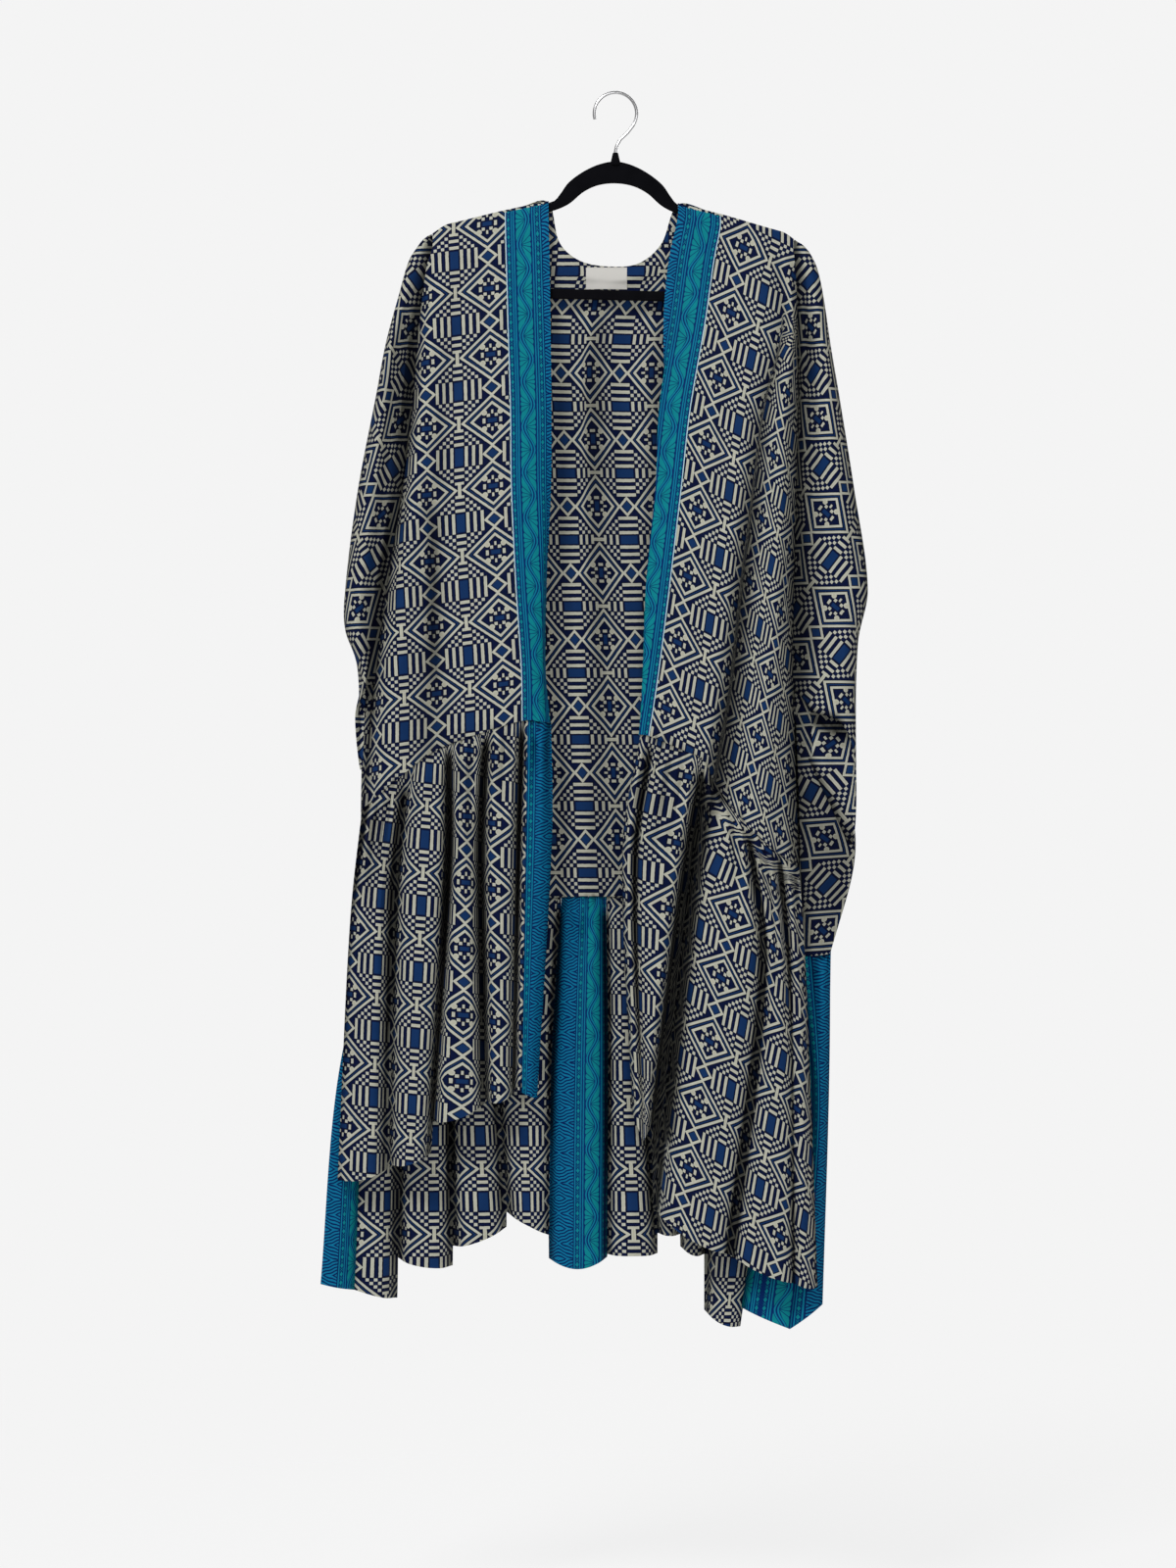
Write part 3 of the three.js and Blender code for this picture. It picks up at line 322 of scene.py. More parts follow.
def weights(knots, at):
    """How much each knot counts at each place along a smooth curve through all the knots."""
    last = len(knots) - 1
    slope = np.zeros((last + 1, last + 1))
    for k in range(last + 1):
        a, b = max(k - 1, 0), min(k + 1, last)
        slope[k, b] += 1 / (knots[b] - knots[a])
        slope[k, a] -= 1 / (knots[b] - knots[a])
    table = np.zeros((len(at), last + 1))
    for row, place in enumerate(at):
        i = 0
        while i < last - 1 and place > knots[i + 1]:
            i += 1
        span = knots[i + 1] - knots[i]
        t = (place - knots[i]) / span
        table[row, i] += 2 * t**3 - 3 * t**2 + 1
        table[row, i + 1] += 3 * t**2 - 2 * t**3
        table[row] += slope[i] * span * (t**3 - 2 * t**2 + t)
        table[row] += slope[i + 1] * span * (t**3 - t**2)
    return table


def smooth_through(knots, values, at):
    return weights(knots, np.atleast_1d(at)) @ np.array(values, float)


def stations(knots, step):
    """Each knot, with equal parts of about one step between them, and where the knots fall."""
    places, knot_at = [knots[0]], [0]
    for a, b in zip(knots, knots[1:]):
        parts = max(1, round((b - a) / step))
        places += [a + (b - a) * s / parts for s in range(1, parts + 1)]
        knot_at.append(len(places) - 1)
    return np.array(places), knot_at


def knots_of(points):
    """Mean distance between neighbours along the second axis, added up."""
    gaps = np.linalg.norm(np.diff(points, axis=1), axis=2).mean(axis=0)
    return np.concatenate([[0], np.cumsum(gaps)])


def cloth_through(sections, across, down):
    """A smooth surface through the sections: its points, and the column each table column falls on."""
    table = np.array([np.stack([x, y, z], axis=1) for _, x, y, z in sections], float)
    down_knots = knots_of(table.transpose(1, 0, 2))
    across_knots = knots_of(table)
    rows, _ = stations(down_knots, down)
    columns, column_at = stations(across_knots, across)
    grid = np.einsum("ri,ijk,cj->rck", weights(down_knots, rows), table, weights(across_knots, columns))
    return grid, column_at


def hanger_top(x):
    xs, zs = zip(*SHOULDER_LINE)
    return smooth_through(xs, zs, abs(x))[0] + HANGER_TILT * x


def shoulder_rows(xs, side):
    return [(name, xs, [side * out] * len(xs), [hanger_top(x) + rise for x in xs])
            for name, out, rise in OVER_ARM]


def back_sections():
    rows = []
    for row, (name, xs, ys, zs) in enumerate(shoulder_rows(BACK_TOP, 1)):
        y, z = list(ys), list(zs)
        for i, x in enumerate(xs):
            if i in NECK_HEIGHT:
                y[i], z[i] = 6 + row * 0.4, NECK_HEIGHT[i] - NECK_DROP[row]
            elif x in NECK_CORNERS:
                y[i], z[i] = CORNER_OUT[row], hanger_top(x) + CORNER_RISE[row]
        rows.append((name, xs, y, z))
    for share, (name, x, y, z) in zip(FALL_SHARE, BACK_SHAPE):
        rows.append((name, x, y, [z + fall * share for fall in BACK_FALL]))
    return rows


def tucked_under(sections, front_edge, back_edge, away):
    """The sleeve's sections with its inner edges tucked under the side edges of the front and the
    back. The back half of the sleeve follows its edge."""
    out = []
    for row, (name, x, y, z) in enumerate(sections):
        x, y = list(x), list(y)
        if row >= 2:
            x[0] = float(np.interp(-z[0], -front_edge[:, 2], front_edge[:, 0])) + away
            y[0] += SLEEVE_TUCK
            pull = float(np.interp(-z[-1], -back_edge[:, 2], back_edge[:, 0])) + away - x[-1]
            for column, share in BACK_PULL:
                x[column] += pull * share
            y[-1] -= SLEEVE_TUCK
        out.append((name, x, y, z))
    return out


def normals_of(grid):
    """The unit normal of the cloth at each point."""
    down = np.empty_like(grid)
    right = np.empty_like(grid)
    down[1:-1] = grid[2:] - grid[:-2]
    down[0], down[-1] = grid[1] - grid[0], grid[-1] - grid[-2]
    right[:, 1:-1] = grid[:, 2:] - grid[:, :-2]
    right[:, 0], right[:, -1] = grid[:, 1] - grid[:, 0], grid[:, -1] - grid[:, -2]
    normal = np.cross(down, right)
    return normal / np.linalg.norm(normal, axis=2, keepdims=True)


def moved(grid, by):
    """The points moved out along their normals, by one distance or one for each point."""
    by = np.asarray(by, float)
    return grid + normals_of(grid) * (by[..., None] if by.ndim else by)


def along(edge, x):
    """Depth and height of an edge at the given places in x."""
    order = np.argsort(edge[:, 0])
    return [np.interp(x, edge[order, 0], edge[order, k]) for k in (1, 2)]


def gathers(place, pitch, turn):
    """Small uneven gathers, between -1 and 1, at places along a seam."""
    wander = 0.45 * np.sin(place / (pitch * 0.83) + turn) + 0.3 * np.sin(place / (pitch * 1.9) + 2 * turn)
    strength = 0.72 + 0.28 * np.sin(place / (pitch * 1.37) + 3 * turn)
    return strength * np.sin(2 * np.pi * place / pitch + 2.2 * wander)


def skirt_cloth(skirt, seam_edge, across, rows, gather=(16, 7.5), turn=0.0, side=1):
    """A gathered skirt hung from a seam edge. Its ridges stand between its furrows."""
    levels, crown, lines = skirt["levels"], skirt["crown"], skirt["lines"]
    t = np.linspace(0, 1, rows + 1) ** ROW_CROWDING
    level = weights(levels, t)
    at = [[level @ np.array(line[k], float) for k in (1, 2, 3)] for line in lines]
    columns = []
    for k in range(len(lines) - 1):
        (xa, ya, _), (xb, yb, _) = at[k], at[k + 1]
        for s in range(1 if k else 0, across + 1):
            f = (1 - math.cos(math.pi * s / across)) / 2
            x = xa + (xb - xa) * f
            sunk = sum((depth * GATHER_DEEPEN + FURROW_TOP * ease(1 - t * 2) * (depth > 0.5))
                       * np.exp(-(((x - wx) / (line[4] * FURROW_TIGHT)) ** 2))
                       for (wx, _, depth), line in zip(at, lines))
            swell = crown * math.sin(math.pi * f) * ease(t * 3)
            top = lines[k][1][0] + (lines[k + 1][1][0] - lines[k][1][0]) * f
            pitch, depth = gather
            fade = 1 - ease(t / (GATHER_FADE * (0.75 + 0.5 * math.sin(top / 31 + turn) ** 2)))
            small = depth * gathers(top, pitch, turn) * fade
            sewn_y, sewn_z = along(seam_edge, top)
            sewn_y = sewn_y + SKIRT_TUCK * side
            loose = ya + (yb - ya) * f + sunk - swell + ease(t * 30) * small
            free = ease(t * SEAM_HOLD)
            hem = lines[k][6] + (lines[k + 1][5] - lines[k][6]) * f - lines[k][7] * math.sin(math.pi * f)
            hem = lines[k + 1][6] if s == across else hem
            y = sewn_y + (loose - sewn_y) * free
            z = (sewn_z - SKIRT_DROP) * (1 - t) + hem * t
            columns.append(np.stack([x, y, z], axis=1))
    return np.stack(columns, axis=1)


def soft_waves(grid, size, seeds):
    """Shallow uneven hanging waves, mostly upright, as a distance for each point."""
    x, z = grid[..., 0], grid[..., 2]
    a, b, c = seeds
    wave = np.sin(x / 19 + 0.9 * np.sin(z / 140 + a) + a)
    wave += 0.7 * np.sin(x / 11.3 + 1.3 * np.sin(z / 95 + b) + z / 210 + b)
    wave += 0.5 * np.sin(x / 33 - z / 60 + c) * np.sin(z / 47 + a)
    return size * wave / 2.2


def puckers(grid, pitch, depth, reach, turn):
    """Small puckers in a panel above the gathered seam at its last row."""
    away = np.abs(grid[..., 2] - grid[-1][None, :, 2])
    return depth * gathers(grid[-1][None, :, 0], pitch, turn) * np.exp(-(away / reach) ** 1.3)


def crease(grid, path, width, depth):
    """A soft trough along a path of (x, z) points that runs down the cloth."""
    xs, zs = zip(*path)
    order = np.argsort(zs)
    middle = np.interp(grid[..., 2], np.array(zs)[order], np.array(xs)[order])
    top, low = max(zs), min(zs)
    fade = ease((top - grid[..., 2]) / 30) * ease((grid[..., 2] - low) / 60)
    return -depth * fade * np.exp(-(((grid[..., 0] - middle) / width) ** 2))


def beside(grid, path, width):
    """How near each point lies to a path of (x, z) points: 1 on it, fading within a few widths."""
    places = grid[..., [0, 2]]
    apart = np.full(grid.shape[:2], np.inf)
    path = np.array(path, float)
    for start, end in zip(path, path[1:]):
        way = end - start
        share = np.clip((places - start) @ way / (way @ way), 0, 1)
        apart = np.minimum(apart, np.linalg.norm(places - start - share[..., None] * way, axis=-1))
    return np.exp(-((apart / width) ** 2))


def hollows(depth, reach):
    """How far each point lies in a fold, from 0 to 1: its depth below the mean of its neighbours. It sets
    the painted shade in folds.
    """
    size = 2 * reach + 1
    padded = np.pad(depth, ((0, 0), (reach, reach)), mode="edge")
    total = np.cumsum(np.pad(padded, ((0, 0), (1, 0))), axis=1)
    mean = (total[:, size:] - total[:, :-size]) / size
    return np.clip((depth - mean) / FOLD_DEPTH, 0, 1)


# Making pieces
def select_only(piece):
    bpy.ops.object.select_all(action="DESELECT")
    piece.select_set(True)
    bpy.context.view_layer.objects.active = piece


def sheet_from(name, grid, chart, thick=SHELL, fold=None):
    """A thin shell of cloth on a grid of points in millimetres. The chart gives each point its
    place on the flat printed cloth, in metres."""
    rows, columns = grid.shape[:2]
    bpy.ops.object.select_all(action="DESELECT")
    bpy.ops.mesh.primitive_grid_add(x_subdivisions=columns - 1, y_subdivisions=rows - 1, size=1)
    piece = bpy.context.object
    piece.name = piece.data.name = name
    piece.data.vertices.foreach_set("co", (grid * MM).ravel())
    corner = np.zeros(len(piece.data.loops), dtype=np.int32)
    piece.data.loops.foreach_get("vertex_index", corner)
    uv = piece.data.uv_layers[0]
    uv.name = "cloth"
    uv.data.foreach_set("uv", chart.reshape(-1, 2)[corner].ravel())
    # fold is painted shade for each point, kept as an attribute that darkens the print
    if fold is not None:
        piece.data.attributes.new("fold", "FLOAT", "POINT").data.foreach_set("value", fold.ravel())
    piece.data.update()
    wall = piece.modifiers.new("wall", "SOLIDIFY")
    wall.thickness = thick * MM
    wall.offset = 0
    wall.use_even_offset = False
    bpy.ops.object.modifier_apply(modifier="wall")
    bpy.ops.object.shade_smooth_by_angle(angle=math.radians(50))
    return piece


def flat_chart(grid, origin_column=0, drop=0.0, lean=0.0, stretch=1.0, sign=1, shift=(0, 0), turned=0.0):
    """Places on the flat cloth for a hanging panel: across from one column, and down by height.
    Drop is how far the weft falls for each step away from the origin column, and lean how far
    the threads go sideways for each step down."""
    step = np.hypot(*np.moveaxis(np.diff(grid[..., :2], axis=1), 2, 0))
    across = np.concatenate([np.zeros((len(grid), 1)), np.cumsum(step, axis=1)], axis=1)
    across = (across - across[:, origin_column][:, None]) * sign + grid[..., 2] * lean
    down = -grid[..., 2] - drop * np.abs(across)
    a, b = across * stretch + shift[0], down + shift[1]
    c, s = math.cos(math.radians(turned)), math.sin(math.radians(turned))
    return np.stack([a * c - b * s, a * s + b * c], axis=2) * MM


def thread_chart(grid, level=0.55, drop=0.0, shift=(0, 0), sign=1):
    """Places on the flat cloth for a gathered skirt: each column is one thread."""
    row = grid[int(level * (len(grid) - 1))]
    step = np.hypot(*np.diff(row[:, :2], axis=0).T)
    across = np.concatenate([[0], np.cumsum(step)]) * sign
    down = -grid[..., 2] - drop * across[None, :]
    return np.stack([np.broadcast_to(across[None, :], down.shape) + shift[0], down + shift[1]], axis=2) * MM


def cut_size(chart):
    """Width, length and area of the cut, from the places on the flat cloth, in metres."""
    low, high = chart.reshape(-1, 2).min(0), chart.reshape(-1, 2).max(0)
    one = chart[1:, 1:] - chart[:-1, :-1]
    other = chart[:-1, 1:] - chart[1:, :-1]
    area = float(0.5 * np.abs(one[..., 0] * other[..., 1] - one[..., 1] * other[..., 0]).sum())
    return [float(v) for v in high - low], area


def hang(piece, material, chart, *, shoulder=False):
    piece.data.materials.clear()
    piece.data.materials.append(material)
    node = piece.name.replace("cloth_", "")
    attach(piece, "root")
    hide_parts(*([node, node + "_shoulder"] if shoulder else [node]))
    flat, area = cut_size(chart)


# Shader building
class Field:
    """A number that changes over the surface, worked out by Math nodes in one node tree."""

    def __init__(self, tree, value):
        self.tree, self.value = tree, value

    def made(self, operation, *others, clamp=False):
        node = self.tree.nodes.new("ShaderNodeMath")
        node.operation = operation
        node.use_clamp = clamp
        for socket, term in zip(node.inputs, (self, *others)):
            value = term.value if isinstance(term, Field) else term
            if isinstance(value, (int, float)):
                socket.default_value = value
            else:
                self.tree.links.new(value, socket)
        return Field(self.tree, node.outputs[0])

    def __add__(self, other):
        return self.made("ADD", other)

    def __sub__(self, other):
        return self.made("SUBTRACT", other)

    def __mul__(self, other):
        return self.made("MULTIPLY", other)

    def __truediv__(self, other):
        return self.made("DIVIDE", other)

    def size(self):
        return self.made("ABSOLUTE")

    def most(self, other):
        return self.made("MAXIMUM", other)

    def least(self, other):
        return self.made("MINIMUM", other)

    def over(self, limit):
        return self.made("GREATER_THAN", limit)

    def under(self, limit):
        return self.made("LESS_THAN", limit)

    def wave(self):
        return self.made("SINE")

    def nearest(self):
        return self.made("ROUND")

    def within(self, period):
        """Distance from the nearest whole number of periods."""
        return self.made("PINGPONG", period / 2)

    def clamped(self):
        return self.made("ADD", 0.0, clamp=True)

    def inside(self, soft=0.08):
        """1 where the distance is below 0, 0 where it is above, with a soft step between."""
        return (self * (-1 / soft) + 0.5).clamped()


def box_at(x, y, cx, cy, hx, hy):
    """Distance outside a box, negative inside it."""
    return ((x - cx).size() - hx).most((y - cy).size() - hy)


def colour_mix(tree, factor, under, over):
    node = tree.nodes.new("ShaderNodeMix")
    node.data_type = "RGBA"
    tree.links.new(factor.value if isinstance(factor, Field) else factor, node.inputs["Factor"])
    for socket, colour in ((node.inputs["A"], under), (node.inputs["B"], over)):
        if isinstance(colour, tuple):
            socket.default_value = (*colour, 1)
        else:
            tree.links.new(colour, socket)
    return node.outputs["Result"]


def new_group(name, inputs, outputs):
    """A shader group, with the sockets that its inside reads from and writes to."""
    group = bpy.data.node_groups.new(name, "ShaderNodeTree")
    for label, kind, value in inputs:
        socket = group.interface.new_socket(label, in_out="INPUT", socket_type=kind)
        if value is not None:
            socket.default_value = value
    for label, kind in outputs:
        group.interface.new_socket(label, in_out="OUTPUT", socket_type=kind)
    start = group.nodes.new("NodeGroupInput")
    end = group.nodes.new("NodeGroupOutput")
    return group, start.outputs, end.inputs


def parts_of(tree, vector):
    """The first two numbers of a place."""
    split = tree.nodes.new("ShaderNodeSeparateXYZ")
    tree.links.new(vector, split.inputs[0])
    return Field(tree, split.outputs[0]), Field(tree, split.outputs[1])


def noise(tree, vector, scale, detail=2.0, rough=0.5):
    node = tree.nodes.new("ShaderNodeTexNoise")
    node.inputs["Scale"].default_value = scale
    node.inputs["Detail"].default_value = detail
    node.inputs["Roughness"].default_value = rough
    tree.links.new(vector, node.inputs["Vector"])
    return Field(tree, node.outputs["Fac"])


# Half widths in the lattice print, in parts of the repeat
PARTS = 18
BAR = 0.4
LINE = 0.3
RIM = 0.24  # width of the dark rim round the cream


def lattice_print():
    """Striped blocks, concentric diamonds and small bars on a square repeat, in cream on navy.
    It is charted in eighteenths of the repeat."""
    group, given, result = new_group(
        "lattice_print",
        [("Place", "NodeSocketVector", None), ("Across", "NodeSocketFloat", PRINT_REPEAT[0] * MM),
         ("Down", "NodeSocketFloat", PRINT_REPEAT[1] * MM)],
        [("Color", "NodeSocketColor")])
    u, v = parts_of(group, given["Place"])
    across, down = Field(group, given["Across"]) / PARTS, Field(group, given["Down"]) / PARTS
    wobble = (noise(group, given["Place"], 260, 1.0) - 0.5) * 0.14
    ax = (u / across + wobble).within(PARTS)  # 0 at the middle of a block, 9 at the middle of a diamond
    ay = (v / down + wobble * -0.8).within(PARTS)
    a, b = ax * -1 + PARTS / 2, ay * -1 + PARTS / 2

    bars = ((ax - 1.95).within(1.95) - BAR).most(ay - 2.75).most((ax - 3.9).size() - 2.4)
    cross = box_at(ax, ay, 0, 3.45, 1.3, BAR).least(box_at(ax, ay, 0, 5.35, 1.3, BAR))
    step, row = ax.nearest(), ((ay - 3.4) / 0.96).nearest()
    check = ((ax - step).size() - BAR).most((ay - (row * 0.96 + 3.4)).size() - BAR)
    count = step + row
    off = (count * 0.5 + 0.5).within(1).over(0.25) + count.over(5.5) + step.under(1.5) + row.under(-0.5)
    check = check + off * 5
    stem = box_at(ax, b, 0, 0, 0.42, 1.7).least(box_at(ax, b, 0, 1.85, 1.2, 0.36))
    outer = ((a / 8.0 + b / 6.75 - 1).size() - LINE / 5.16) * 5.16
    inner = ((a / 5.55 + b / 4.85 - 1).size() - LINE / 3.65) * 3.65
    small = ((a / 2.3 + ay / 2.05 - 1).size() - LINE / 1.53) * 1.53
    dots = box_at(a, b, 0, 2.35, 0.26, 0.5).least(box_at(a, b, 2.25, 0, 0.36, 0.66))
    dots = dots.least(box_at(a, b, 1.05, 1.4, 0.4, 0.4))
    lobes = ((a - 2.15).made("POWER", 2.0) + (b - 2.2).made("POWER", 2.0)).made("SQRT") - 0.72
    cream = bars.least(cross).least(check).least(stem).least(outer).least(inner)
    cream = cream.least(small).least(dots).least(lobes)

    blue = box_at(ax, ay, 0, 0, 1.1, 2.4).least(box_at(a, b, 0, 0, 1.2, 0.55))
    blue = blue.least((a / 2.3 + ay / 2.05 - 0.75) * 1.53)
    gap = ((a / 6.8 + b / 5.85 - 1).size() - 0.03) * 4.4
    ground = colour_mix(group, blue.least(gap).inside(0.12), NAVY, BLUE)
    rim = (cream - RIM).inside(0.2)
    ground = colour_mix(group, rim, ground, INK)
    vein = (cream + 0.16).inside(0.22) * 0.75
    face = colour_mix(group, vein, CREAM, TAN)
    group.links.new(colour_mix(group, cream.inside(0.14), ground, face), result["Color"])
    return group


# The border's repeats along the cloth, in millimetres
VINE_PERIOD = 51.0
HATCH_PERIOD = 34.0
BEAD_PERIOD = 9.6
PETAL_ANGLE = math.radians(27)


def border_print():
    """A woven border, read across from its white selvedge: beads, lines, a vine with fans, hatching."""
    group, given, result = new_group("border_print", [("Place", "NodeSocketVector", None)],
                                     [("Color", "NodeSocketColor")])
    u, v = parts_of(group, given["Place"])
    wobble = (noise(group, given["Place"], 300, 1.0) - 0.5) * 0.5
    p, q = u / MM + wobble, v / MM + wobble
    p = p.size().made("PINGPONG", BORDER_WIDTH)
    line = ((p - 7.2).size() - 0.62).least((p - 9.7).size() - 0.7).least((p - 30.8).size() - 0.6)
    line = line.least((p - 33.6).size() - 0.62).least((p - 39.6).size() - 0.6)

    # Chains of lozenges with a small cross between each pair
    chain = (p - 3.8).size().least((p - 36.5).size())
    bead = ((q.within(BEAD_PERIOD) / 3.1 + chain / 1.75) - 1) * 1.4
    cross = ((q + BEAD_PERIOD / 2).within(BEAD_PERIOD) - chain).size() - 0.32
    bead = bead.least(cross.most(chain - 1.5))

    # A vine of two strands swings across the panel, with a fan of petals in each of its bays
    turn_rate = 2 * math.pi / VINE_PERIOD
    middle, swing = 20.4, 5.3
    off_vine = p - ((q * turn_rate).wave() * swing + middle)
    panel = (p - middle).size() - 8.6
    vine = ((off_vine.size() * 0.9 - 1.45).size() - 0.72).most(panel)
    petals = None
    for side in (1, -1):
        run = (q - side * VINE_PERIOD / 4).within(VINE_PERIOD)
        rise = (p - middle) * -side + (swing - 2.1)
        reach = (run.made("POWER", 2.0) + rise.made("POWER", 2.0)).made("SQRT")
        angle = run.made("ARCTAN2", rise) / PETAL_ANGLE
        gap = (angle - 0.5).within(1) * reach * PETAL_ANGLE
        tip = angle.within(1)
        fan = (gap * -1 + 0.36).most(off_vine * side + 3.0).most(rise + tip * tip * 5 - (swing - 2.1 + 8.3))
        fan = fan.most(reach * -1 + 1.6).most(rise * -1 + 0.3 + run * -0.01)
        petals = fan if petals is None else petals.least(fan)

    # Feathery hatching, in groups that lean one way and the other
    comb = q.within(HATCH_PERIOD) + (p - 41.5) * 0.42 + (p * 0.55 + q * 0.2).wave() * 0.45
    stroke = (comb.within(3.7) - 1.0).most((p - 50).size() - 8.6)
    ground = colour_mix(group, (p - 40.6).over(0.0), DEEP_BLUE, HATCH_BLUE)
    ground = colour_mix(group, petals.inside(0.35), ground, TEAL)
    ground = colour_mix(group, vine.least(line).inside(0.35), ground, LIGHT_TEAL)
    ground = colour_mix(group, bead.inside(0.35), ground, TEAL)
    ground = colour_mix(group, stroke.inside(0.5), ground, HATCH_TEAL)
    selvedge = ((p - 0.5).size() - 0.5).inside(0.3) * (u / MM).size().under(3)
    ground = colour_mix(group, selvedge, ground, SELVEDGE)
    group.links.new(ground, result["Color"])
    return group


def cloth_weave():
    """Fine crossed threads with slubs: a height for the bump and a shade for the colour."""
    group, given, result = new_group(
        "cloth_weave",
        [("Place", "NodeSocketVector", None), ("Threads", "NodeSocketFloat", 1600.0)],
        [("Height", "NodeSocketFloat"), ("Shade", "NodeSocketFloat")])
    u, v = parts_of(group, given["Place"])
    threads = Field(group, given["Threads"])
    warp, weft = (u * threads * math.pi).wave(), (v * threads * math.pi).wave()
    crepe = noise(group, given["Place"], 900, 3.0, 0.6)
    slub = noise(group, given["Place"], 55, 3.0, 0.55)
    height = warp * weft * 0.25 + crepe * 0.6 + slub * 0.35
    group.links.new(height.value, result["Height"])
    group.links.new((slub * 0.34 + crepe * 0.16 + 0.76).value, result["Shade"])
    return group


def finish(name, colour, roughness, metallic=0.0, sheen=0.0, sheen_roughness=0.4, gloss=0.5):
    material = bpy.data.materials.new(name)
    material.use_nodes = True
    tree = material.node_tree
    shader = tree.nodes["Principled BSDF"]
    shader.inputs["Base Color"].default_value = (*colour, 1)
    shader.inputs["Roughness"].default_value = roughness
    shader.inputs["Metallic"].default_value = metallic
    shader.inputs["Sheen Weight"].default_value = sheen
    shader.inputs["Sheen Roughness"].default_value = sheen_roughness
    shader.inputs["Specular IOR Level"].default_value = gloss
    return material, tree, shader


def placed(tree, group, **values):
    """A group set into a material, with that material's own values."""
    node = tree.nodes.new("ShaderNodeGroup")
    node.node_tree = group
    for label, value in values.items():
        node.inputs[label].default_value = value
    return node


def bump(tree, shader, height, strength, distance):
    node = tree.nodes.new("ShaderNodeBump")
    node.inputs["Strength"].default_value = strength
    node.inputs["Distance"].default_value = distance
    tree.links.new(height, node.inputs["Height"])
    tree.links.new(node.outputs["Normal"], shader.inputs["Normal"])


def printed_cloth(name, print_group, roughness=0.62, sheen=0.012):
    material, tree, shader = finish(name, CREAM, roughness, sheen=sheen, gloss=0.03)
    place = tree.nodes.new("ShaderNodeUVMap")
    place.uv_map = "cloth"
    pattern, weave = placed(tree, print_group), placed(tree, WEAVE)
    tree.links.new(place.outputs["UV"], pattern.inputs["Place"])
    tree.links.new(place.outputs["UV"], weave.inputs["Place"])
    shade = tree.nodes.new("ShaderNodeVectorMath")
    shade.operation = "SCALE"
    tree.links.new(pattern.outputs["Color"], shade.inputs[0])
    # the fold attribute holds painted shade: it darkens the print in folds, gathers, seams and where pieces
    # go behind others
    fold = tree.nodes.new("ShaderNodeAttribute")
    fold.attribute_name = "fold"
    painted_shade_factor = Field(tree, fold.outputs["Fac"]) * -FOLD_SHADE + 1
    tree.links.new((painted_shade_factor * Field(tree, weave.outputs["Shade"])).value, shade.inputs["Scale"])
    tree.links.new(shade.outputs["Vector"], shader.inputs["Base Color"])
    bump(tree, shader, weave.outputs["Height"], 0.35, 0.0004)
    return material


WEAVE = cloth_weave()
printed_crepe = printed_cloth("printed_crepe", lattice_print())
sari_border = printed_cloth("sari_border", border_print(), roughness=0.55, sheen=0.012)


def flocking():
    material, tree, shader = finish("black_flocking", (0.003, 0.003, 0.004), 0.95, sheen=0.01, gloss=0.05)
    place = tree.nodes.new("ShaderNodeTexCoord").outputs["Object"]
    nap = noise(tree, place, 2600, 2.0)
    patch = noise(tree, place, 60, 2.0)
    tree.links.new(colour_mix(tree, patch * 0.7, (0.002, 0.002, 0.003), (0.006, 0.006, 0.008)),
                   shader.inputs["Base Color"])
    bump(tree, shader, nap.value, 0.5, 0.0004)
    return material


def polished_wire():
    material, tree, shader = finish("chromed_wire", (0.62, 0.62, 0.63), 0.16, metallic=1.0)
    place = tree.nodes.new("ShaderNodeTexCoord").outputs["Object"]
    scuff = noise(tree, place, 420, 3.0)
    tree.links.new((scuff * 0.22 + 0.08).value, shader.inputs["Roughness"])
    return material


def woven_tape():
    material, tree, shader = finish("label_tape", (0.66, 0.63, 0.58), 0.75, sheen=0.1)
    place = tree.nodes.new("ShaderNodeUVMap")
    place.uv_map = "cloth"
    weave = placed(tree, WEAVE, Threads=1100.0)
    tree.links.new(place.outputs["UV"], weave.inputs["Place"])
    tone = colour_mix(tree, weave.outputs["Shade"], (0.44, 0.43, 0.40), (0.62, 0.605, 0.57))
    tree.links.new(tone, shader.inputs["Base Color"])
    bump(tree, shader, weave.outputs["Height"], 0.3, 0.0003)
    return material


black_flocking = flocking()
chromed_wire = polished_wire()
label_tape = woven_tape()

# Camera: level with the middle of the robe, straight at its front
PIXEL = 1.1  # what a pixel of the photograph spans at the hanger, in millimetres
PHOTO_HEIGHT = 1600  # pixels
FRAME_MIDDLE = (-30.8, -774.5)  # x and z at the middle of the photograph, in millimetres
CAMERA_AWAY = 4.6  # metres
SENSOR = 24


def studio_camera():
    bpy.ops.object.select_all(action="DESELECT")
    lens = bpy.data.cameras.new("camera")
    camera = bpy.data.objects.new("camera", lens)
    bpy.context.collection.objects.link(camera)
    camera.location = (FRAME_MIDDLE[0] * MM, -CAMERA_AWAY, FRAME_MIDDLE[1] * MM)
    camera.rotation_euler = (math.radians(90), 0, 0)
    lens.sensor_fit = "VERTICAL"
    lens.sensor_height = SENSOR
    lens.lens = SENSOR * CAMERA_AWAY / (PHOTO_HEIGHT * PIXEL * MM)
    bpy.context.scene.camera = camera


studio_camera()


# Fronts and back
WAVES_FROM = 230  # millimetres under the rail where the hanging waves start
WAVES_GROW = 120  # height over which they come up
STILL_COLUMNS = 8  # a side edge stays still over this many columns, where a sleeve joins it
BACK_BIAS = 90  # the back is cut with the print lying on its side
WING_BIAS = -36


def below_hanger(grid):
    return ease((-grid[..., 2] - WAVES_FROM) / WAVES_GROW)


def still_edge(grid):
    return np.minimum(1, np.arange(grid.shape[1])[::-1] / STILL_COLUMNS)[None, :]


def standing(grid):
    """How much the left front's fold stands at each point: none at the chest, all lower down."""
    return ease((FOLD_TOP - grid[..., 2]) / 70)


